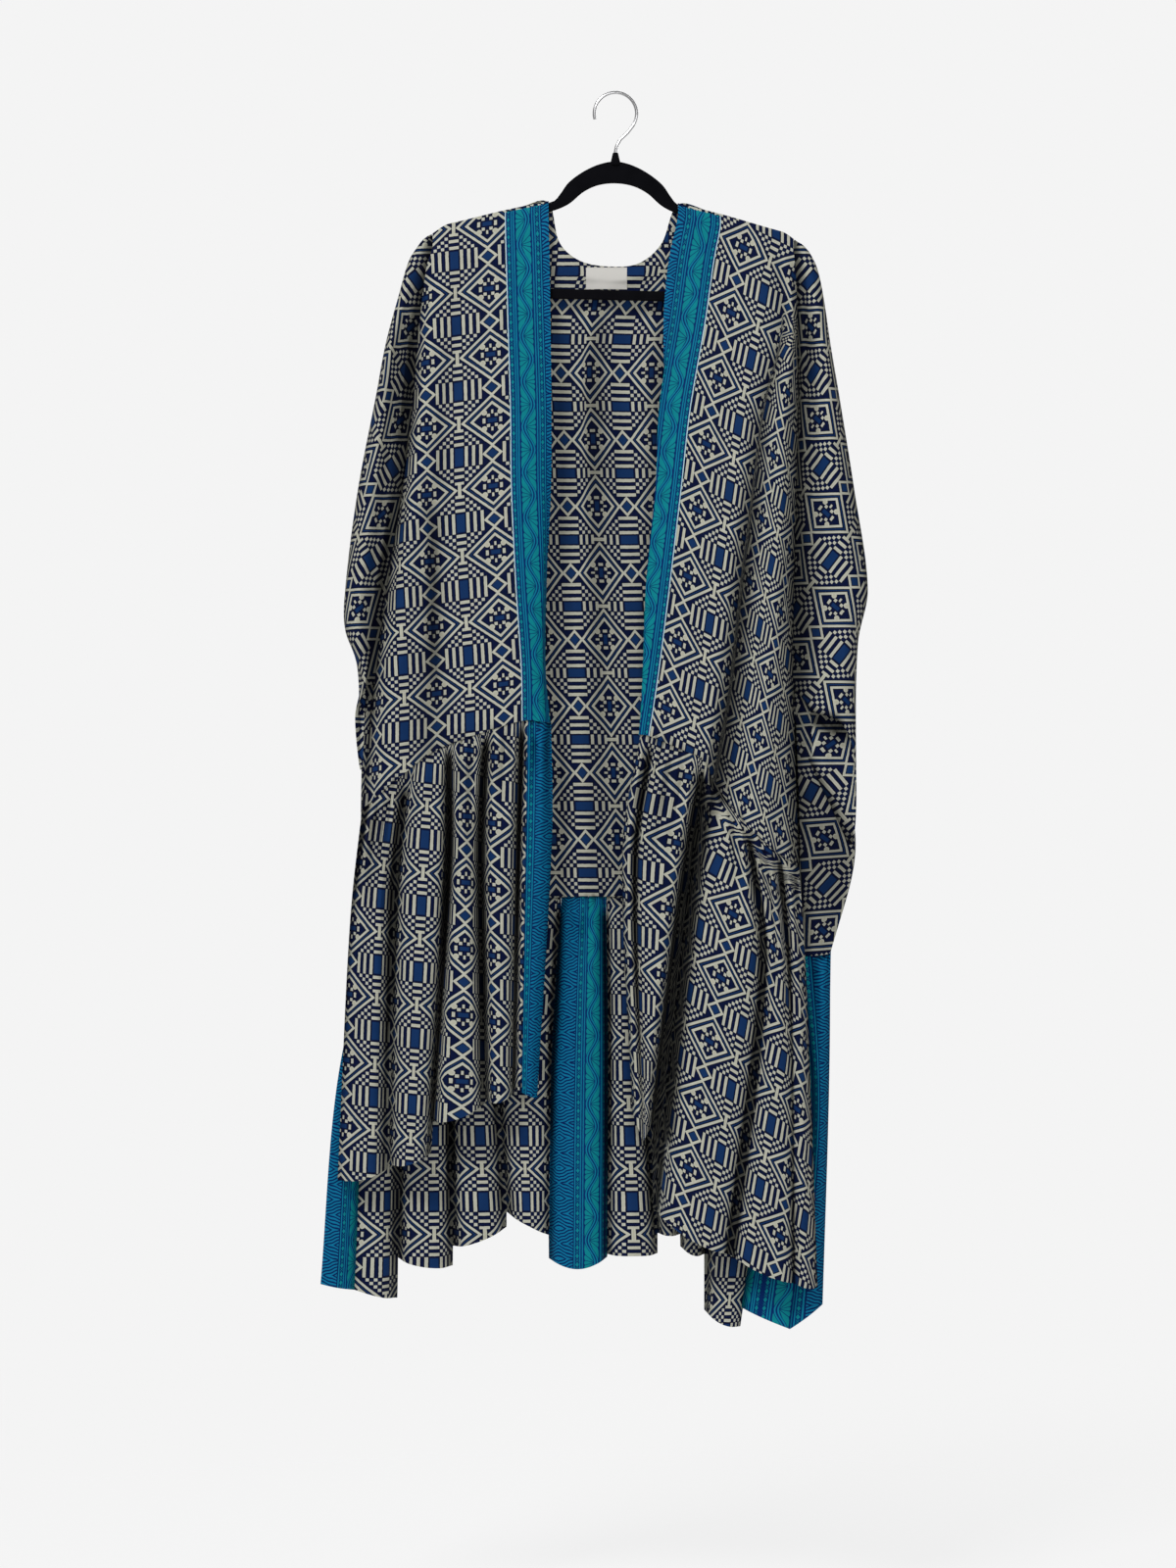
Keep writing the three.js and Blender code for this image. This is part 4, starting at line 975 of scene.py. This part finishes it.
def past_fold(chart, grid, column, hidden):
    """The chart of a panel with a standing fold. Past it the print jumps by the cloth that the
    fold hides, its threads lie closer and its weft falls faster."""
    closer, falling = 0.5, 0.33  # for each millimetre past the fold
    leaning, even_at = 0.11, -400  # for each millimetre down from a height
    chart = chart.copy()
    past = (np.arange(grid.shape[1]) >= column)[None, :] * standing(grid)
    width = np.maximum(0, grid[..., 0] - grid[:, column, 0][:, None])
    chart[..., 0] += past * (hidden[0] + width * closer - (grid[..., 2] - even_at) * leaning) * MM
    chart[..., 1] += past * (hidden[1] - width * falling) * MM
    return chart


def knots(grid, row, away):
    """Painted shade where small gathers pinch the cloth at a seam row, fading with the share away from it.
    """
    pinch = np.clip(gathers(grid[row, :, 0], KNOT_PITCH, 1.0), 0, 1)
    return KNOT_SHADE * pinch[None, :] * (1 - ease(away))


def panel_fold_shade(panel, inward):
    """Painted shade at each point of a front or the back: how deep it lies in a fold or in a gather of its
    lower seam.
    """
    away = (panel[..., 2] - panel[-1][None, :, 2]) / KNOT_REACH
    return np.maximum(hollows(panel[..., 1] * inward, 6), knots(panel, -1, away))


right_plain, right_at = cloth_through(shoulder_rows(RIGHT_FRONT_TOP, -1) + RIGHT_FRONT, 3.6, 7)
right_bumps = soft_waves(right_plain, 1.3, (0.4, 2.1, 5.0)) * below_hanger(right_plain)
right_bumps += crease(right_plain, [(-217, -433), (-204, -485), (-202, -690)], 7, 4)
right_bumps = right_bumps * still_edge(right_plain)
right_bumps += puckers(right_plain, 17, 1.5, 16, 0.6)
right_front = moved(right_plain, -right_bumps)

left_plain, left_at = cloth_through(shoulder_rows(LEFT_FRONT_TOP, -1) + LEFT_FRONT, 3.6, 7)
left_bumps = soft_waves(left_plain, 1.3, (3.1, 0.3, 1.7)) * below_hanger(left_plain)
left_bumps = left_bumps * still_edge(left_plain) + puckers(left_plain, 17, 1.5, 16, 2.2)
left_front = moved(left_plain, left_bumps)

back_plain, back_at = cloth_through(back_sections(), 4.2, 7.5)
back_bumps = soft_waves(back_plain, 1.2, (1.9, 4.4, 0.8)) * below_hanger(back_plain)
back_bumps = back_bumps * still_edge(back_plain) * still_edge(back_plain)[:, ::-1]
back_bumps += puckers(back_plain, 18, 1.2, 14, 1.4)
back = moved(back_plain, back_bumps)

# Columns of their tables that the print and the pieces start from
RIGHT_BAND, LEFT_BAND = right_at[2], left_at[2]
LEFT_TURN, LEFT_FURROW = left_at[1], left_at[5]
BACK_MIDDLE, WING = back_at[8], back_at[16]


def front_right():
    chart = flat_chart(right_plain, RIGHT_BAND, drop=0.14, sign=-1, shift=(57.5, 41))
    # painted shade in the right front's folds and seam gathers
    piece = sheet_from("cloth_front_right", right_front, chart, fold=panel_fold_shade(right_front, 1))
    hang(piece, printed_crepe, chart, shoulder=True)


def front_left():
    """The left front. Its cut size is worked out from a plain chart, because the print's is stretched."""
    chart = flat_chart(left_plain, LEFT_BAND, drop=0.495, lean=-0.03, stretch=1.16, shift=(-2.3, 27.9))
    chart = past_fold(chart, left_plain, LEFT_FURROW, hidden=(42.5, 34.7))
    # painted shade: a dark line along the standing fold, with the painted shade of the panel's folds and
    # seam gathers
    apart = np.arange(left_front.shape[1]) - LEFT_FURROW + 0.5
    line = STANDING_SHADE * np.exp(-((apart / 1.3) ** 2))[None, :] * standing(left_front)
    fold = np.maximum(panel_fold_shade(left_front, 1), line)
    piece = sheet_from("cloth_front_left", left_front, chart, fold=fold)
    cut = flat_chart(left_plain, LEFT_BAND)
    hang(piece, printed_crepe, cut, shoulder=True)


def back_panel():
    """The back. The wing beside the left front turns forward at its edge, with its print on the bias."""
    chart = flat_chart(back_plain, BACK_MIDDLE, lean=0.052, shift=(56.9, 27.8), turned=BACK_BIAS)
    on_wing = (np.arange(back.shape[1]) >= WING)[None, :, None]
    wing_chart = flat_chart(back_plain, WING, sign=-1, shift=(18, 19), turned=WING_BIAS)
    # painted shade along the wing's edge where it goes behind the left front, with the painted shade of the
    # back's folds and seam gathers
    behind = np.exp(-((np.arange(back.shape[1])[::-1] / 1.5) ** 2))[None, :]
    behind = EDGE_SHADE * behind * ease((-back[..., 2] - 680) / 25)
    fold = np.maximum(panel_fold_shade(back, -1), behind)
    piece = sheet_from("cloth_back", back, np.where(on_wing, wing_chart, chart), fold=fold)
    hang(piece, printed_crepe, chart, shoulder=True)


front_right()
front_left()
back_panel()


# Front bands, on the fronts from the opening to the band edge
def front_band(side, front, edge, out):
    """A border strip on a front. Its print is read across from the selvedge at the band edge."""
    band = moved(front, out * BAND_LIFT)[2:, :edge + 1]
    step = np.linalg.norm(np.diff(band, axis=1), axis=2)
    across = np.concatenate([np.zeros((len(band), 1)), np.cumsum(step, axis=1)], axis=1)
    across = across[:, edge][:, None] - across
    down = np.linalg.norm(np.diff(band[:, -1], axis=0), axis=1)
    down = np.concatenate([[0], np.cumsum(down)])
    chart = np.stack([across, np.broadcast_to(down[:, None], across.shape)], axis=2) * MM
    piece = sheet_from("cloth_front_band_" + side, band, chart)
    hang(piece, sari_border, chart)


front_band("right", right_front, RIGHT_BAND, -1)
front_band("left", left_front, LEFT_BAND, 1)

# Sleeves: the path of the long fold in each, and the line of painted shade in the mouth of the left cuff,
# in x and z
SLEEVE_FOLDS = {
    "sleeve_right": [(-223, -224), (-231, -334), (-246, -422), (-255, -510), (-262, -598)],
    "sleeve_left": [(226, -694), (236, -738), (244, -767), (252, -797), (266, -833), (269, -900)],
}
CUFF_MOUTH_SHADE = [(200, -677), (208, -691), (222, -702), (238, -710), (250, -713)]


def mouth_shade(sleeve):
    """Painted shade in the inside of an open cuff, and painted shade under its lip."""
    part = np.arange(sleeve.shape[1]) / sleeve.shape[1]
    lip, inside = (part < 0.32)[None, :], (part > 0.6)[None, :]
    up = np.arange(len(sleeve))[::-1][:, None]
    shade = np.maximum(lip * np.exp(-((up / 1.2) ** 2)), inside * np.exp(-((up / 2.2) ** 2)))
    return np.maximum(shade, inside * beside(sleeve, CUFF_MOUTH_SHADE, 9))


def sleeve_piece(name, table, front, back_edge, away, bias):
    """A sleeve with a long fold pressed in, with painted shade in its folds and where it goes behind the
    front.
    """
    sleeve, _ = cloth_through(tucked_under(table, front[:, -1], back_edge, away), 2.2, 6)
    chart = flat_chart(sleeve, 0, sign=-1 if away > 0 else 1, turned=bias)
    off_rim = 1 - np.exp(-((np.linspace(-1, 1, sleeve.shape[1]) / 0.2) ** 2))
    dip = -crease(sleeve, SLEEVE_FOLDS[name], 5, SLEEVE_DIP) * ease((-2 - sleeve[..., 1]) / 3) * off_rim
    # painted shade in the sleeve's hollows, its pressed fold and where it goes behind the front; on the
    # left sleeve also in the cuff's mouth
    fold = np.maximum(hollows(-np.abs(sleeve[..., 1]), 9) * off_rim, dip / FOLD_DEPTH)
    fold = np.maximum(fold, EDGE_SHADE * np.exp(-((np.arange(sleeve.shape[1]) / 9) ** 4)))
    if name == "sleeve_left":
        fold = np.maximum(fold, mouth_shade(sleeve))
    sleeve[..., 1] += np.minimum(dip, np.maximum(0, -1.5 - sleeve[..., 1]))
    piece = sheet_from("cloth_" + name, sleeve, chart, fold=fold)
    hang(piece, printed_crepe, chart)


sleeve_piece("sleeve_right", RIGHT_SLEEVE, right_front, back[:, 0], SLEEVE_TUCK, 42)
sleeve_piece("sleeve_left", LEFT_SLEEVE, left_front, back[:, -1], -SLEEVE_TUCK, -40)

# Skirts: columns between two lines of a table, and the path of the painted shade along the left skirt's
# deep furrow
ACROSS = 22
LEFT_ACROSS = 26
DEEP_FURROW_SHADE = [(112, -765), (100, -830), (89, -906), (75, -1020), (62, -1137), (58, -1170)]
right_skirt = skirt_cloth(RIGHT_FRONT_SKIRT, right_front[-1], ACROSS, 70, turn=0.6)
left_skirt = skirt_cloth(LEFT_FRONT_SKIRT, left_front[-1][LEFT_TURN:], LEFT_ACROSS, 84, turn=2.2)
rear_skirt = skirt_cloth(BACK_SKIRT, back[-1], ACROSS, 60, gather=(18, 4), turn=1.4, side=-1)


def skirt_shade(grid, across, fade, furrow):
    """Painted shade of a skirt in its furrows, which fades unevenly towards the hem, and at its seam."""
    down = np.linspace(0, 1, len(grid))[:, None]
    uneven = 0.5 + 0.5 * np.sin(np.arange(grid.shape[1]) / across * 2.3 + 1)[None, :]
    fold = 1.4 * hollows(grid[..., 1], 15) * (1 - fade * ease((down - 0.3 - 0.25 * uneven) / 0.4))
    if furrow:
        fold = np.maximum(fold, beside(grid, furrow, 7))
    painted_seam_shade = knots(grid, 0, down / 0.07) + SEAM_SHADE * np.exp(-((down / 0.008) ** 2))
    return np.clip(np.maximum(fold, painted_seam_shade), 0, 1)


def skirt_piece(name, grid, chart, first, last, material, slot, across=ACROSS, fade=0.5, furrow=()):
    """The stretch of a skirt between two lines of its table, drawn in where another piece joins it."""
    cut = slice(first * across, last * across + 1)
    part, places = grid[:, cut].copy(), chart[:, cut]
    total = (grid.shape[1] - 1) // across
    for edge, inner, joined in ((0, 1, first > 0), (-1, -2, last < total)):
        if joined:
            way = part[:, inner] - part[:, edge]
            part[:, edge] += way / np.linalg.norm(way, axis=1, keepdims=True) * SEAM / 2
    # painted shade of the skirt's furrows and seam, cut to this stretch
    fold = skirt_shade(grid, across, fade, furrow)[:, cut]
    piece = sheet_from("cloth_" + name, part, places, fold=fold)
    hang(piece, material, places)


def printed_stretch(name, grid, chart, first, last, **shape):
    skirt_piece(name, grid, chart, first, last, printed_crepe, "printed_cloth", **shape)


def border_strip(name, grid, first, last, line, start, sign):
    """A border strip of a skirt. Its print starts at one line, growing or falling with the columns."""
    places = thread_chart(grid)
    places[..., 0] = (places[..., 0] - places[0, line * ACROSS, 0]) * sign + start * MM
    skirt_piece(name, grid, places, first, last, sari_border, "border_cloth")


def panel_chart(grid, furrow, drops, shift):
    """Places for the left skirt: threads follow its folds up to the deep furrow. Past it the
    panel hangs flat, its threads keep their distance from the furrow and its weft falls faster."""
    closer, leaning, even_at = 1.19, 0.085, 800
    places = thread_chart(grid) / MM
    down = -grid[..., 2]
    across = places[..., 0] - places[0, furrow, 0]
    step = np.hypot(*np.moveaxis(np.diff(grid[:, furrow:, :2], axis=1), 2, 0))
    run = np.concatenate([np.zeros((len(grid), 1)), np.cumsum(step, axis=1)], axis=1)
    fall = drops[0] * across
    fall[:, furrow:] = drops[1] * run - shift[1]
    across[:, furrow:] = run * closer + (down[:, furrow:] - even_at) * leaning + shift[0]
    return np.stack([across, down - fall], axis=2) * MM


right_places = thread_chart(right_skirt, drop=0.1, sign=-1, shift=(-6, 20))
left_places = panel_chart(left_skirt, 2 * LEFT_ACROSS, (0.22, 0.63), shift=(11.4, 51.4))
rear_places = thread_chart(rear_skirt, shift=(0, 10))
border_strip("front_skirt_border_right", right_skirt, 0, 1, line=0, start=178, sign=-1)
printed_stretch("front_skirt_right", right_skirt, right_places, 1, 6)
printed_stretch("front_skirt_left", left_skirt, left_places, 0, 5,
                across=LEFT_ACROSS, fade=0.1, furrow=DEEP_FURROW_SHADE)
border_strip("back_skirt_border_right", rear_skirt, 0, 1, line=0, start=173, sign=-1)
printed_stretch("back_skirt_right", rear_skirt, rear_places, 1, 5)
border_strip("back_skirt_border_centre", rear_skirt, 5, 6, line=5, start=190, sign=-1)
printed_stretch("back_skirt_left", rear_skirt, rear_places, 6, 10)
border_strip("back_skirt_border_left", rear_skirt, 10, 12, line=12, start=173, sign=1)

# Neck label: a blank woven tape on the inside of the back. Its left, right, top and lower edge
LABEL = (-33, 13, -194, -218)
LABEL_ROWS_OF_BACK = 40  # the rows of the back that it can lie on


def label_grid(columns=24, rows=14):
    """Points in front of the back, read off it by height at each place across."""
    x0, x1, z0, z1 = LABEL
    xs, zs = np.linspace(x0, x1, columns + 1), np.linspace(z0, z1, rows + 1)
    points = np.zeros((rows + 1, columns + 1, 3))
    for i, x in enumerate(xs):
        spots = [[np.interp(x, row[:, 0], row[:, k]) for k in (1, 2)] for row in back[:LABEL_ROWS_OF_BACK]]
        depth, height = np.array(spots).T
        order = np.argsort(height)
        y = np.interp(zs, height[order], depth[order])
        points[:, i] = np.stack([np.full_like(zs, x), y, zs], axis=1)
    points[..., 1] -= SHELL / 2 + LABEL_THICK / 2 + LABEL_LIFT
    return points


def neck_label():
    tape = label_grid()
    chart = np.stack([tape[..., 0], -tape[..., 2]], axis=2) * MM
    label = sheet_from("cloth_neck_label", tape, chart, LABEL_THICK)
    hang(label, label_tape, chart)


neck_label()


# Hanger and hook
FRAME_EDGE = 1.4  # radius of the frame's rounded edge
NECK_FOOT = 6.2  # radii and height of the neck that the wire stands in
NECK_HEAD = 2.9
NECK_HIGH = 14
NECK_ROUND = 0.6


def finish_solid(piece, material, node):
    select_only(piece)
    bpy.ops.object.convert(target="MESH")
    bpy.ops.object.transform_apply(location=True, rotation=True, scale=True)
    bpy.ops.object.mode_set(mode="EDIT")
    bpy.ops.mesh.select_all(action="SELECT")
    bpy.ops.mesh.remove_doubles(threshold=0.00002)
    bpy.ops.mesh.normals_make_consistent(inside=False)
    bpy.ops.object.mode_set(mode="OBJECT")
    bpy.ops.object.shade_smooth_by_angle(angle=math.radians(40))
    piece.data.materials.clear()
    piece.data.materials.append(material)
    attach(piece, "root")
    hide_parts(node)


def both_sides(half):
    """Half an outline with its mirror image before it, tilted as the hanger hangs."""
    left = [(-x, z) for x, z in half if x > 0][::-1]
    return [(x, z + HANGER_TILT * x) for x, z in left + half]


def rounded_line(points, count):
    """A smooth line through the points, in equal steps."""
    points = np.array(points, float)
    lengths = [[0], np.cumsum(np.linalg.norm(np.diff(points, axis=0), axis=1))]
    knots_along = np.concatenate(lengths)
    places = np.linspace(0, knots_along[-1], count)
    return (weights(knots_along, places) @ points).tolist()


def curve_from(name, lines, closed, flat):
    data = bpy.data.curves.new(name, "CURVE")
    data.dimensions = "2D" if flat else "3D"
    for points in lines:
        line = data.splines.new("POLY")
        line.points.add(len(points) - 1)
        for point, place in zip(line.points, points):
            point.co = (*[c * MM for c in place], 1)
        line.use_cyclic_u = closed
    piece = bpy.data.objects.new(name, data)
    bpy.context.collection.objects.link(piece)
    return piece


def hanger_frame():
    """The flat frame, cut out inside and round at its edges. It is drawn flat and stood up."""
    outline = rounded_line(both_sides(FRAME_TOP), 150)
    opening = rounded_line(both_sides(FRAME_OPENING), 130)
    frame_lines = [[(x, z, 0) for x, z in line] for line in (outline, opening)]
    hanger = curve_from("hanger", frame_lines, closed=True, flat=True)
    hanger.data.extrude = (HANGER_THICK / 2 - FRAME_EDGE) * MM
    hanger.data.bevel_depth = FRAME_EDGE * MM
    hanger.data.bevel_resolution = 3
    hanger.data.offset = -FRAME_EDGE * MM
    hanger.data.fill_mode = "BOTH"
    hanger.rotation_euler = (math.radians(90), 0, 0)
    finish_solid(hanger, black_flocking, "hanger_frame")


def hanger_hook():
    """The wire rises from the neck, leans out and turns back over the rail."""
    bend = HOOK_RADIUS + WIRE / 2
    turns = [math.radians(125 - 230 * i / 48) for i in range(49)]
    line = [(0, 0, NECK_TOP - 8), (0, 0, NECK_TOP + 1), (1.2, 0, -59), (5.4, 0, -51), (13.5, 0, -43.5)]
    line += [(bend * math.sin(a), 0, -HOOK_RADIUS + bend * math.cos(a)) for a in turns]
    hook = curve_from("hook", [line], closed=False, flat=False)
    hook.data.bevel_depth = WIRE / 2 * MM
    hook.data.bevel_resolution = 5
    hook.data.use_fill_caps = True
    finish_solid(hook, chromed_wire, "hanger_hook")


def hanger_neck():
    bpy.ops.object.select_all(action="DESELECT")
    bpy.ops.mesh.primitive_cone_add(
        vertices=32, radius1=NECK_FOOT * MM, radius2=NECK_HEAD * MM, depth=NECK_HIGH * MM,
        location=(0, 0, (NECK_TOP - NECK_HIGH / 2) * MM))
    neck = bpy.context.object
    neck.name = "hanger_neck"
    rim = neck.modifiers.new("rim", "BEVEL")
    rim.width = NECK_ROUND * MM
    rim.segments = 2
    bpy.ops.object.modifier_apply(modifier="rim")
    finish_solid(neck, black_flocking, "hanger_frame")


hanger_frame()
hanger_hook()
hanger_neck()


# Floor and light
FLOOR_Z = -1.72
AMBIENT = 0.34  # the backdrop's light on the cloth, as a share of what the camera sees of it
BACKDROP = 0.905
FLOOR_GLOW = 0.745  # brings the floor up to the backdrop's brightness


def pale_floor():
    """A round floor that fades out towards its edge, so that it ends nowhere in the picture."""
    bpy.ops.object.select_all(action="DESELECT")
    bpy.ops.mesh.primitive_circle_add(
        vertices=96, radius=2.4, fill_type="NGON", location=(-0.03, 0, FLOOR_Z))
    floor = bpy.context.object
    floor.name = "floor"
    material, tree, shader = finish("pale_floor", (0.22, 0.22, 0.22), 0.9, gloss=0.0)
    shader.inputs["Emission Color"].default_value = (1, 1, 1, 1)
    shader.inputs["Emission Strength"].default_value = FLOOR_GLOW
    spot = tree.nodes.new("ShaderNodeTexCoord").outputs["Object"]
    reach = tree.nodes.new("ShaderNodeVectorMath")
    reach.operation = "LENGTH"
    tree.links.new(spot, reach.inputs[0])
    grain = (noise(tree, spot, 30) - 0.5) * 0.02
    cover = (Field(tree, reach.outputs["Value"]) * -0.55 + 1.25 + grain).clamped()
    tree.links.new(cover.value, shader.inputs["Alpha"])
    floor.data.materials.append(material)


def soft_light(name, place, target, size, power):
    """A square area light that looks at its target."""
    data = bpy.data.lights.new(name, "AREA")
    data.shape = "SQUARE"
    data.size = size
    data.energy = power
    lamp = bpy.data.objects.new(name, data)
    bpy.context.collection.objects.link(lamp)
    lamp.location = place
    way = np.array(target) - np.array(place)
    lamp.rotation_euler = (math.atan2(math.hypot(way[0], way[1]), -way[2]), 0,
                           math.atan2(way[1], way[0]) - math.pi / 2)


def studio_backdrop():
    """A pale backdrop, bright to the camera, that gives the cloth a dimmer light."""
    world = bpy.data.worlds.new("studio")
    bpy.context.scene.world = world
    world.use_nodes = True
    tree = world.node_tree
    backdrop = tree.nodes["Background"]
    backdrop.inputs["Color"].default_value = (BACKDROP, BACKDROP, BACKDROP, 1)
    ray = tree.nodes.new("ShaderNodeLightPath").outputs["Is Camera Ray"]
    strength = Field(tree, ray) * (1 - AMBIENT) + AMBIENT
    tree.links.new(strength.value, backdrop.inputs["Strength"])
    bpy.context.scene.view_settings.view_transform = "Standard"


pale_floor()
soft_light("key", (-1.5, -2.9, 1.9), (0, 0, -0.7), 1.2, 92)
soft_light("fill", (1.0, -4.0, -0.3), (0, 0, -0.6), 2.0, 36)
soft_light("behind", (0.6, 3.2, 0.9), (0, 0, -0.6), 2.2, 45)
studio_backdrop()
